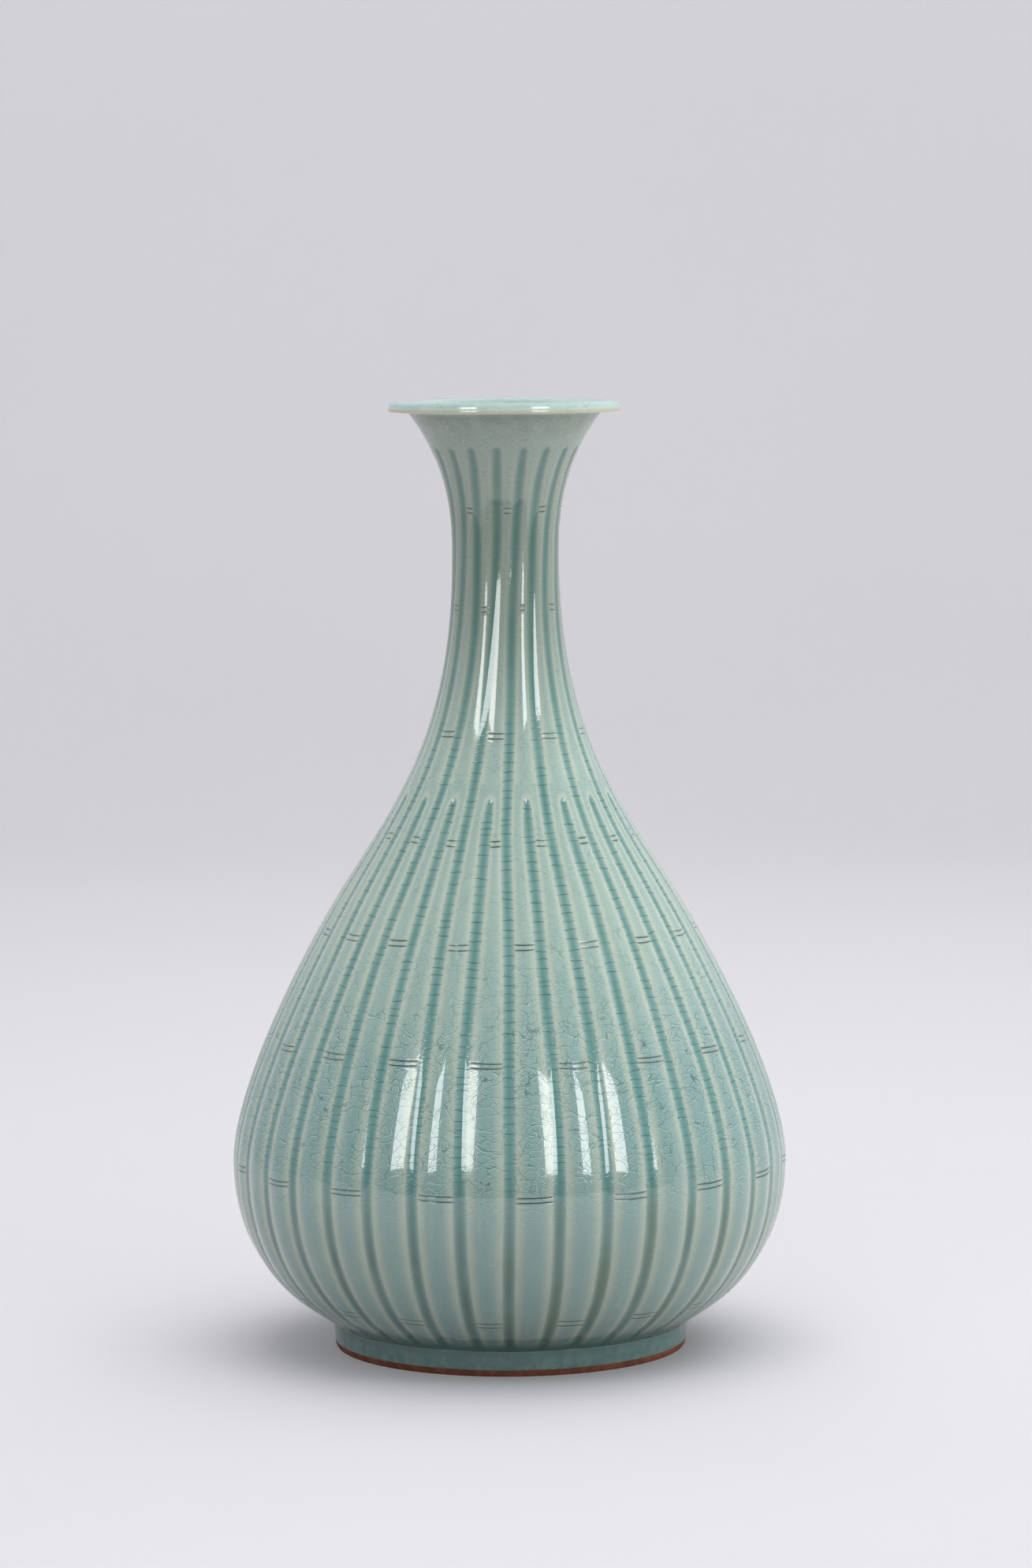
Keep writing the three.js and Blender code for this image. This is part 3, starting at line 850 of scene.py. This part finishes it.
class Nodes:
    """Short names for the nodes of one material."""

    def __init__(self, name):
        self.material = bpy.data.materials.new(name)
        self.material.use_nodes = True
        self.tree = self.material.node_tree
        self.shader = self.tree.nodes["Principled BSDF"]
        self.place = self.add("ShaderNodeTexCoord")["Object"]
        axes = self.add("ShaderNodeSeparateXYZ", {"Vector": self.place})
        self.x, self.z = axes["X"], axes["Z"]

    def put(self, sockets, values):
        """Links sockets, by name or number, to outputs, or sets the sockets' own values."""
        for key, value in values.items():
            if isinstance(value, bpy.types.NodeSocket):
                self.tree.links.new(value, sockets[key])
            else:
                sockets[key].default_value = value

    def add(self, kind, inputs=None, **settings):
        """The outputs of a new node."""
        node = self.tree.nodes.new(kind)
        for key, value in settings.items():
            setattr(node, key, value)
        self.put(node.inputs, inputs or {})
        return node.outputs

    def finish(self, inputs):
        """The material, with the inputs of its shader."""
        self.put(self.shader.inputs, inputs)
        return self.material

    def math(self, operation, a, b, clamp=False):
        return self.add("ShaderNodeMath", {0: a, 1: b}, operation=operation, use_clamp=clamp)[0]

    def vector_math(self, operation, *vectors):
        return self.add("ShaderNodeVectorMath", dict(enumerate(vectors)), operation=operation)

    def product(self, *factors):
        result = factors[0]
        for factor in factors[1:]:
            result = self.math("MULTIPLY", result, factor)
        return result

    def larger(self, a, b):
        return self.math("MAXIMUM", a, b)

    def ramp(self, value, low, high, to_low=0.0, to_high=1.0):
        """A value taken smoothly from one range to another."""
        limits = {"From Min": low, "From Max": high, "To Min": to_low, "To Max": to_high}
        inputs = {"Value": value, **limits}
        return self.add("ShaderNodeMapRange", inputs, interpolation_type="SMOOTHSTEP")["Result"]

    def zone(self, heights, at_low=0.0, at_high=1.0, along=None):
        """A value that changes between two heights, which are in millimetres."""
        return self.ramp(along or self.z, heights[0] * MM, heights[1] * MM, at_low, at_high)

    def mix(self, share, a, b, blend="MIX"):
        """One colour laid over another by a share."""
        inputs = {"Factor": share, MIX_FIRST: a, MIX_SECOND: b}
        return self.add("ShaderNodeMix", inputs, data_type="RGBA", blend_type=blend)[MIX_RESULT]

    def mask(self, name):
        return self.add("ShaderNodeAttribute", attribute_name=name)["Fac"]

    def scaled(self, scale):
        return self.add("ShaderNodeMapping", {"Vector": self.place, "Scale": scale})["Vector"]

    def noise(self, scale, detail=2.0, vector=None, output="Fac"):
        inputs = {"Vector": vector or self.place, "Scale": scale, "Detail": detail}
        return self.add("ShaderNodeTexNoise", inputs)[output]

    def pattern(self, scale, detail, low, high, least=0.0, most=1.0, vector=None):
        """A noise, spread between two of its levels from its least value to its most."""
        return self.ramp(self.noise(scale, detail, vector), low, high, least, most)

    def cells(self, vector, scale, feature):
        return self.add("ShaderNodeTexVoronoi", {"Vector": vector, "Scale": scale}, feature=feature)

    def bump(self, height, strength, distance):
        inputs = {"Strength": strength, "Distance": distance, "Height": height}
        return self.add("ShaderNodeBump", inputs)["Normal"]


def colour(red, green, blue):
    """A colour's linear value from its usual 0 to 255 numbers."""
    usual = Color((red / 255, green / 255, blue / 255))
    return (*usual.from_srgb_to_scene_linear(), 1.0)


WHITE = (1.0, 1.0, 1.0, 1.0)

# Colours of the glaze where it is thin over the ribs' edges, low down, on the belly and on the shoulder
# Paler upwards, darker low down: partly the glaze's thickness, partly painted light on the upturned shoulder
# and painted shade on the lower body, which faces down.
THIN_LOW = colour(144, 155, 141)
THIN_BELLY = colour(162, 175, 162)
THIN_SHOULDER = colour(174, 186, 172)

# What is left of that colour where the glaze is thick, and the colours where it pools
# The shoulder's paler value and the low pool's darker colour are likewise partly painted light and painted
# shade.
THICK_BELLY = (0.51, 0.72, 0.82, 1.0)
THICK_SHOULDER = (0.69, 0.835, 0.895, 1.0)
POOL_LOW = colour(65, 93, 86)
POOL_BELLY = colour(90, 133, 128)
NECK_THIN = colour(116, 119, 105)
NECK_POOL = colour(72, 93, 85)
LIP_CREAM = colour(178, 172, 146)
# The lip's pale colour: partly the glaze, partly a painted reflection of the light above.
LIP_PALE_AND_REFLECTION = colour(174, 196, 191)
# Brown on the flare: partly stain, partly painted shade under the lip.
FLARE_STAIN_AND_SHADE = colour(88, 88, 72)
# Darker colours on and above the foot: partly pooled, mottled glaze, partly painted shade under the belly.
FOOT_MOTTLE_AND_SHADE = colour(72, 100, 96)
FOOT_POOL_AND_SHADE = colour(56, 82, 77)
CRACK_DARK = colour(70, 102, 99)
# The colour of a painted highlight along each crack's lower edge
CRACK_LIT = colour(176, 204, 196)
TICK_DARK = colour(44, 82, 82)
LINE_DARK = colour(40, 54, 48)
OLIVE = colour(84, 100, 68)
SPECK = colour(58, 52, 40)
CLAY_BROWN = colour(106, 63, 47)
CLAY_DARK = colour(86, 50, 37)
SLIP_GREY = colour(150, 128, 104)
SLIP_PALE = colour(178, 160, 134)

# Heights between which the finish changes
# Just above the foot the glaze is darkened: partly gathered glaze, partly painted shade under the belly.
GATHER_AND_SHADE_HEIGHT = 9
GATHER_AND_SHADE_ZONE = (FOOT_HEIGHT, FOOT_HEIGHT + GATHER_AND_SHADE_HEIGHT)
# The upper part of the foot wall, darkened further: partly pooled glaze, partly painted shade under the rib
# ends.
FOOT_SHADE_ZONE = (5.5, 9.8)
OLIVE_RISE = (12, 30)
OLIVE_FALL = (60, 85)
# Where the painted shade of the lower body and the painted light of the shoulder blend in
LOW_TO_BELLY = (45, 100)
BELLY_TO_SHOULDER = (100, 180)
SHOULDER_TO_NECK = (222, 302)
CRACKLE_RISE = (60, 85)
CRACKLE_FALL = (115, 175)
TICK_ZONE_RISE = (60, 95)
TICK_ZONE_FALL = (232, 262)
FLARE_ZONE = (352, 364)
BELOW_LIP = (LIP_UNDERSIDE_Z - 1.6, LIP_UNDERSIDE_Z + 0.4)
LIP_ZONE = (LIP_UNDERSIDE_Z - 0.6, LIP_UNDERSIDE_Z + 0.6)
FUNNEL_ZONE = (MOUTH_SEAM_Z - 0.4, LIP_TOP_Z - 2.8)
FUNNEL_LOWERING = 10

# How much of a colour or a mark shows
NECK_SHARE = 0.62
LIP_SHARE = 0.9
GATHER_AND_SHADE_SHARE = 0.6
FOOT_SHADE_SHARE = 0.6
CRACK_SHARE = 0.75
LIT_SHARE = 0.6
TICK_SHARE = 0.6
LINE_SHARE = 0.9
SPECK_SHARE = 0.45


def rib_colour(n):
    """The ribs' colour: cream at their edges, blue-green and cloudy over their middles."""
    # Blending by height paints the shoulder lighter and the lower body darker, partly for the glaze's
    # thickness and partly as painted light and shade.
    thin = n.mix(n.zone(LOW_TO_BELLY), THIN_LOW, THIN_BELLY)
    thin = n.mix(n.zone(BELLY_TO_SHOULDER), thin, THIN_SHOULDER)
    thick = n.mix(n.zone(BELLY_TO_SHOULDER), THICK_BELLY, THICK_SHOULDER)
    thick = n.mix(n.pattern(scale=16, detail=3, low=0.35, high=0.65, most=0.16), thick, WHITE)
    upright = n.scaled((300, 300, 12))
    streaks = n.pattern(scale=1, detail=3, low=0.48, high=0.75, most=0.3, vector=upright)
    cream = n.product(n.mask("cream"), n.pattern(scale=90, detail=3, low=0.25, high=0.6, least=0.75))
    return n.mix(1.0, thin, n.mix(n.larger(cream, streaks), thick, WHITE), "MULTIPLY")


def neck_and_lip(n, body):
    """The beige neck; brown clouds on the flare, partly stain and partly painted shade under the lip; and the
    pale lip, which runs down the funnel and is partly a painted reflection of the light above.
    """
    funnel = n.mask("funnel")
    lowered = n.math("SUBTRACT", n.z, n.product(funnel, FUNNEL_LOWERING * MM))
    below_lip = n.zone(BELOW_LIP, 1, 0, along=lowered)
    neck_colour = n.mix(n.mask("pool"), NECK_THIN, NECK_POOL)
    body = n.mix(n.product(n.zone(SHOULDER_TO_NECK, 0, NECK_SHARE), below_lip), body, neck_colour)
    # Brown clouds, strongest just under the lip: partly stain, partly painted shade.
    clouds = n.pattern(scale=200, detail=4, low=0.35, high=0.7, least=0.1, most=0.4)
    body = n.mix(n.product(n.zone(FLARE_ZONE), below_lip, clouds), body, FLARE_STAIN_AND_SHADE)
    # The pale lip: partly the glaze, partly a painted reflection of the light above.
    down_funnel = n.product(funnel, n.zone(FUNNEL_ZONE, 0, LIP_SHARE))
    on_lip = n.product(n.math("SUBTRACT", 1.0, funnel), n.zone(LIP_ZONE, 0, LIP_SHARE))
    return n.mix(n.larger(on_lip, down_funnel), body, n.mix(n.mask("cream"), LIP_PALE_AND_REFLECTION, LIP_CREAM))


def olive_tint(n):
    """A faint olive stain low in the grooves, to the right of the front."""
    low_down = n.product(n.zone(OLIVE_RISE), n.zone(OLIVE_FALL, 1, 0))
    from_left = n.ramp(n.x, low=-0.03, high=0.02)
    to_right = n.ramp(n.x, low=0.06, high=0.1, to_low=1, to_high=0.3)
    patches = n.pattern(scale=42, detail=2, low=0.42, high=0.62, most=0.5)
    return n.product(low_down, from_left, to_right, patches, n.mask("tick"))


def crack_net(n, place):
    """A wide net of cracks and finer ones inside it."""

    def net(scale, full, gone):
        """A net whose cracks are full and gone so far from its cells' edges."""
        return n.ramp(n.cells(place, scale, "DISTANCE_TO_EDGE")["Distance"], full, gone, 1, 0)

    wide = net(scale=115, full=0.005, gone=0.02)
    middle = net(scale=220, full=0.01, gone=0.038)
    fine = net(scale=380, full=0.016, gone=0.06)
    middle = n.product(middle, n.pattern(scale=85, detail=1, low=0.38, high=0.52, least=0.15))
    fine = n.product(fine, n.pattern(scale=110, detail=1, low=0.5, high=0.6, most=0.7))
    return n.larger(wide, n.larger(middle, fine))


# The crackle: how a swirl bends it, how it is squeezed upwards, and how far below the cracks their painted
# highlights lie
SWIRL_SCALE = 140
SWIRL_REACH = (0.005, 0.005, 0.004)
CRACK_SQUEEZE = (1, 1, 1.5)
CRACK_LIGHT_OFFSET = (0, 0, 0.00045)
CREAM_COVER = 0.45


def crackle(n):
    """The cracks over the ribs' middles, and a painted highlight along their lower edges."""
    swirl = n.noise(SWIRL_SCALE, output="Color")
    place = n.vector_math("MULTIPLY_ADD", swirl, SWIRL_REACH, n.scaled(CRACK_SQUEEZE))["Vector"]
    above = n.vector_math("ADD", place, CRACK_LIGHT_OFFSET)["Vector"]
    cracks = crack_net(n, place)
    lit = n.math("SUBTRACT", crack_net(n, above), cracks, clamp=True)
    covered = n.larger(n.product(n.mask("cream"), CREAM_COVER), n.mask("pool"))
    belly = n.product(n.zone(CRACKLE_RISE, at_low=0.15), n.zone(CRACKLE_FALL, at_low=1, at_high=0.3))
    shown = n.product(n.math("SUBTRACT", 1.0, covered, clamp=True), belly)
    return n.product(cracks, shown), n.product(lit, shown)


# The short cracks across the grooves: how many to a metre, the shift from groove to groove, and their sway
TICKS_PER_METRE = 300
TICK_SHIFT = 17.3
TICK_SWAY = 0.0016


def groove_ticks(n):
    """Short dark cracks across the grooves, a few millimetres apart."""
    sway = n.product(n.noise(scale=220, detail=1), TICK_SWAY)
    along = n.product(n.math("ADD", n.z, sway), TICKS_PER_METRE)
    shifted = n.math("ADD", along, n.product(n.mask("groove"), TICK_SHIFT))
    settings = {"feature": "DISTANCE_TO_EDGE", "voronoi_dimensions": "1D"}
    edge = n.add("ShaderNodeTexVoronoi", {"W": shifted, "Scale": 1}, **settings)["Distance"]
    tick = n.ramp(edge, low=0.02, high=0.09, to_low=1, to_high=0)
    body = n.product(n.zone(TICK_ZONE_RISE, at_low=0.1), n.zone(TICK_ZONE_FALL, at_low=1, at_high=0.12))
    strength = n.pattern(scale=120, detail=1, low=0.3, high=0.6, least=0.3)
    return n.product(tick, n.mask("tick"), body, strength)


def iron_specks(n):
    """Small dark dots, each in the middle of one cell out of many."""
    cells = n.cells(n.place, scale=95, feature="F1")
    chance = n.add("ShaderNodeSeparateColor", {"Color": cells["Color"]})["Red"]
    dot = n.ramp(cells["Distance"], low=0.02, high=0.05, to_low=1, to_high=0)
    return n.product(dot, n.ramp(chance, low=0.93, high=0.94))


# The glaze's surface
GLAZE_IOR = 1.75
RIPPLE = 0.06
CRACK_SINK = 0.12


def glaze_nodes(name):
    """The crackled celadon glaze. Its masks come with the mesh, and the rest is worked out from the place."""
    n = Nodes(name)
    # The pools are darker low down: partly thicker glaze, partly painted shade.
    pool = n.mix(n.zone(LOW_TO_BELLY), POOL_LOW, POOL_BELLY)
    deep = n.product(n.mask("pool"), n.pattern(scale=45, detail=3, low=0.3, high=0.7, least=0.72))
    body = neck_and_lip(n, n.mix(deep, rib_colour(n), pool))
    cracks, lit = crackle(n)
    ticks = groove_ticks(n)
    marks = (
        (olive_tint(n), 1, OLIVE),
        (cracks, CRACK_SHARE, CRACK_DARK),
        # The painted highlight below each crack
        (lit, LIT_SHARE, CRACK_LIT),
        (ticks, TICK_SHARE, TICK_DARK),
        (n.mask("line"), LINE_SHARE, LINE_DARK),
        (iron_specks(n), SPECK_SHARE, SPECK),
    )
    for mark, share, mark_colour in marks:
        body = n.mix(n.product(mark, share), body, mark_colour)

    # The surface: a faint ripple, sunk cracks, and a gloss that is a little uneven
    ripple = n.product(n.noise(scale=420), RIPPLE)
    sunk = n.product(n.larger(cracks, ticks), CRACK_SINK)
    normal = n.bump(n.math("SUBTRACT", ripple, sunk), strength=0.35, distance=0.00035)
    gloss = n.pattern(scale=60, detail=3, low=0.3, high=0.7, least=0.03, most=0.055)
    return n, body, gloss, normal


def celadon_glaze():
    """The glaze on the sections. Just above the foot it is darker: partly gathered glaze, partly painted
    shade under the belly.
    """
    n, body, gloss, normal = glaze_nodes("celadon_glaze")
    body = n.mix(n.zone(GATHER_AND_SHADE_ZONE, GATHER_AND_SHADE_SHARE, 0), body, FOOT_POOL_AND_SHADE)
    return n.finish({"Base Color": body, "Roughness": gloss, "Normal": normal, "IOR": GLAZE_IOR})


# The bare edge of the foot: how far it wavers, and how the clay differs from the glaze
BARE_WAVER = 0.2
CLAY_ROUGHER = 0.6
CLAY_SPECULAR = 0.1
GLAZE_SPECULAR = 0.5


def foot_glaze():
    """The glaze on the foot, wiped off along the lower edge where the bare clay fired brown."""
    n, body, gloss, normal = glaze_nodes("foot_glaze")
    waver = n.product(n.noise(scale=55), BARE_WAVER)
    bare = n.ramp(n.math("ADD", n.mask("bare"), waver), low=0.55, high=0.65)
    clay = n.mix(n.pattern(scale=240, detail=4, low=0.35, high=0.65), CLAY_BROWN, CLAY_DARK)
    # Darker mottled teal over the foot wall, and more at its top: partly the glaze, partly painted shade
    # under the belly.
    mottle = n.pattern(scale=260, detail=4, low=0.36, high=0.64, least=0.35, most=0.95)
    body = n.mix(mottle, body, FOOT_MOTTLE_AND_SHADE)
    body = n.mix(n.zone(FOOT_SHADE_ZONE, 0, FOOT_SHADE_SHARE), body, FOOT_POOL_AND_SHADE)
    return n.finish({
        "Base Color": n.mix(bare, body, clay),
        "Roughness": n.math("ADD", gloss, n.product(bare, CLAY_ROUGHER)),
        "Specular IOR Level": n.ramp(bare, 0, 1, GLAZE_SPECULAR, CLAY_SPECULAR),
        "Normal": normal,
        "IOR": GLAZE_IOR,
    })


def luting_slip():
    """Fired slip, matt and grainy."""
    n = Nodes("luting_slip")
    grain = n.noise(scale=900, detail=4)
    return n.finish({
        "Base Color": n.mix(grain, SLIP_GREY, SLIP_PALE),
        "Roughness": n.ramp(grain, low=0.3, high=0.7, to_low=0.8, to_high=0.95),
        "Normal": n.bump(grain, strength=0.5, distance=0.0004),
    })


def build_vase():
    glaze = celadon_glaze()
    add_piece("lower_body_wall", lower_body(), glaze, "celadon_glaze", "lower_body")
    add_piece("upper_body_wall", upper_body(), glaze, "celadon_glaze", "upper_body")
    add_piece("neck_wall", neck(), glaze, "celadon_glaze", "neck")
    add_piece("mouth_wall", mouth(), glaze, "celadon_glaze", "mouth")
    add_piece("foot_ring_wall", foot_ring(), foot_glaze(), "foot_glaze", "foot_ring")
    slip = luting_slip()
    for node in ("foot_seam_slip", "belly_seam_slip", "shoulder_seam_slip", "mouth_seam_slip"):
        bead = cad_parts[node]
        bead.data.materials.clear()
        bead.data.materials.append(slip)


# The stage, in metres: a pale round studio, whose front half the glaze does not mirror
STUDIO_RADIUS = 3.3
STUDIO_ROUND = 1.5
STUDIO_HEIGHT = 4.2
STUDIO_SEGMENTS = 96
PAPER_FRONT = -0.74
PAPER_PALE = colour(196, 195, 198)
PAPER_SHADE = colour(193, 192, 196)
PAPER_GLOW = 0.25
PAPER_GLOW_NEAR = 0.3
PAPER_GLOW_FAR = 2.4


def studio_paper():
    """Pale paper. Its floor glows faintly, for the light that many white walls would throw under the vase."""
    n = Nodes("studio_paper")
    paper = n.mix(n.noise(scale=3, detail=3), PAPER_PALE, PAPER_SHADE)
    reach = n.vector_math("LENGTH", n.place)["Value"]
    glow = n.ramp(reach, PAPER_GLOW_NEAR, PAPER_GLOW_FAR, PAPER_GLOW, 0)
    n.material.cycles.emission_sampling = "NONE"
    lit = {"Emission Color": paper, "Emission Strength": glow}
    return n.finish({"Base Color": paper, **lit, "Roughness": 0.9, "Specular IOR Level": 0.1})


def studio_mesh(name, front):
    """Floor and wall in one round bowl, cut at the front edge of the paper."""
    bowl = bmesh.new()
    size = (STUDIO_ROUND, STUDIO_ROUND)
    curve = arc((STUDIO_RADIUS - STUDIO_ROUND, STUDIO_ROUND), size, start=-90, end=0, count=24)
    profile = [(0, 0)] + curve + [(STUDIO_RADIUS, STUDIO_HEIGHT)]
    points = [bowl.verts.new((radius, 0, z)) for radius, z in profile]
    edges = [bowl.edges.new(pair) for pair in zip(points, points[1:])]
    bmesh.ops.spin(
        bowl, geom=points + edges, axis=(0, 0, 1), cent=(0, 0, 0), steps=STUDIO_SEGMENTS, angle=FULL_TURN
    )
    bmesh.ops.remove_doubles(bowl, verts=bowl.verts, dist=MM)
    everything = bowl.verts[:] + bowl.edges[:] + bowl.faces[:]
    bmesh.ops.bisect_plane(
        bowl, geom=everything, plane_co=(0, PAPER_FRONT, 0), plane_no=(0, 1, 0),
        clear_inner=not front, clear_outer=front,
    )
    bmesh.ops.recalc_face_normals(bowl, faces=bowl.faces)
    mesh = bpy.data.meshes.new(name)
    bowl.to_mesh(mesh)
    bowl.free()
    mesh.shade_smooth()
    return mesh


def studio():
    """The studio behind and before the front edge of the paper."""
    paper = studio_paper()
    for name, front in (("studio_back", False), ("studio_front", True)):
        mesh = studio_mesh(name, front)
        mesh.materials.append(paper)
        piece = bpy.data.objects.new(name, mesh)
        piece.visible_glossy = not front
        bpy.context.scene.collection.objects.link(piece)
        studio_set.objects.link(piece)


# The two upright lights in front, in metres and degrees, and the strength of the room's own light
BOX_DISTANCE = 1.35
BOX_SIZE = (0.5, 0.7)
BOX_AZIMUTH = 37
ROOM_STRENGTH = 0.7


def panel(name, place, aim, size, power, mirrored=False, lit=None):
    """A soft flat light, turned to its aim. It is only mirrored, or it lights what is in a set, or all."""
    lamp = bpy.data.lights.new(name, "AREA")
    lamp.shape = "RECTANGLE"
    lamp.size, lamp.size_y = size
    lamp.energy = power
    light = bpy.data.objects.new(name, lamp)
    light.location = place
    light.visible_glossy = mirrored
    light.visible_diffuse = not mirrored
    light.visible_camera = False
    light.rotation_mode = "QUATERNION"
    light.rotation_quaternion = (Vector(aim) - light.location).to_track_quat("-Z", "Y")
    light.light_linking.receiver_collection = lit
    bpy.context.scene.collection.objects.link(light)


def softbox(name, azimuth, height, sheen, power):
    """An upright light in front, at an azimuth: what the glaze mirrors, and what lights it."""
    angle = math.radians(azimuth)
    place = (BOX_DISTANCE * math.sin(angle), -BOX_DISTANCE * math.cos(angle), height)
    panel(name, place, (place[0], 0, height), BOX_SIZE, sheen, mirrored=True)
    panel(name + "_fill", place, (0, 0, height), BOX_SIZE, power, lit=vase_set)


def room_light():
    """White light from all around, which the glaze does not mirror."""
    world = bpy.data.worlds.new("room")
    world.use_nodes = True
    background = world.node_tree.nodes["Background"]
    background.inputs["Color"].default_value = WHITE
    background.inputs["Strength"].default_value = ROOM_STRENGTH
    bpy.context.scene.world = world
    world.cycles_visibility.glossy = False


def lights():
    """The lights, by their places and aims in metres, their sizes and their watts."""
    softbox("right_softbox", BOX_AZIMUTH, height=0.6, sheen=6.9, power=4.6)
    softbox("left_softbox", -BOX_AZIMUTH, height=0.645, sheen=6.5, power=4.2)
    panel("top_light", place=(0, 0, 1.9), aim=(0, 0, 0), size=(2.2, 2.2), power=17, lit=vase_set)
    panel("floor_light", place=(0.3, 0, 1.7), aim=(0.1, 0, 0), size=(2.2, 1.8), power=30, lit=studio_set)
    panel("right_fill", place=(1.9, 0, 0.65), aim=(0, 0, 0.2), size=(2, 1.5), power=33, lit=vase_set)
    panel("left_fill", place=(-1.9, 0, 1.25), aim=(0, 0, 0.2), size=(2, 1.5), power=9.5, lit=vase_set)
    panel("back_wash", place=(0, 1.5, 2.6), aim=(0, 3.3, 1.75), size=(4, 1), power=53)
    panel("front_wash", place=(0, -1.5, 2.6), aim=(0, -3.3, 1.0), size=(4, 1), power=25)
    room_light()
    bpy.context.scene.view_settings.view_transform = "Standard"


# The camera, fitted to the photograph's frame
FRAME_HEIGHT = 1989
FOCAL_PIXELS = 6859.4
SENSOR = 36
CAMERA_PLACE = (0.0035, -2.1, 0.425)
CAMERA_PITCH = math.radians(5.56)
CAMERA_ROLL = math.radians(-0.38)


def camera():
    lens = bpy.data.cameras.new("camera")
    lens.sensor_width = SENSOR
    lens.lens = FOCAL_PIXELS * SENSOR / FRAME_HEIGHT
    holder = bpy.data.objects.new("camera", lens)
    level = Matrix.Rotation(math.pi / 2 - CAMERA_PITCH, 4, "X")
    roll = Matrix.Rotation(CAMERA_ROLL, 4, "Z")
    holder.matrix_world = Matrix.Translation(CAMERA_PLACE) @ level @ roll
    bpy.context.scene.collection.objects.link(holder)
    bpy.context.scene.camera = holder


camera()
lights()
studio()
build_vase()
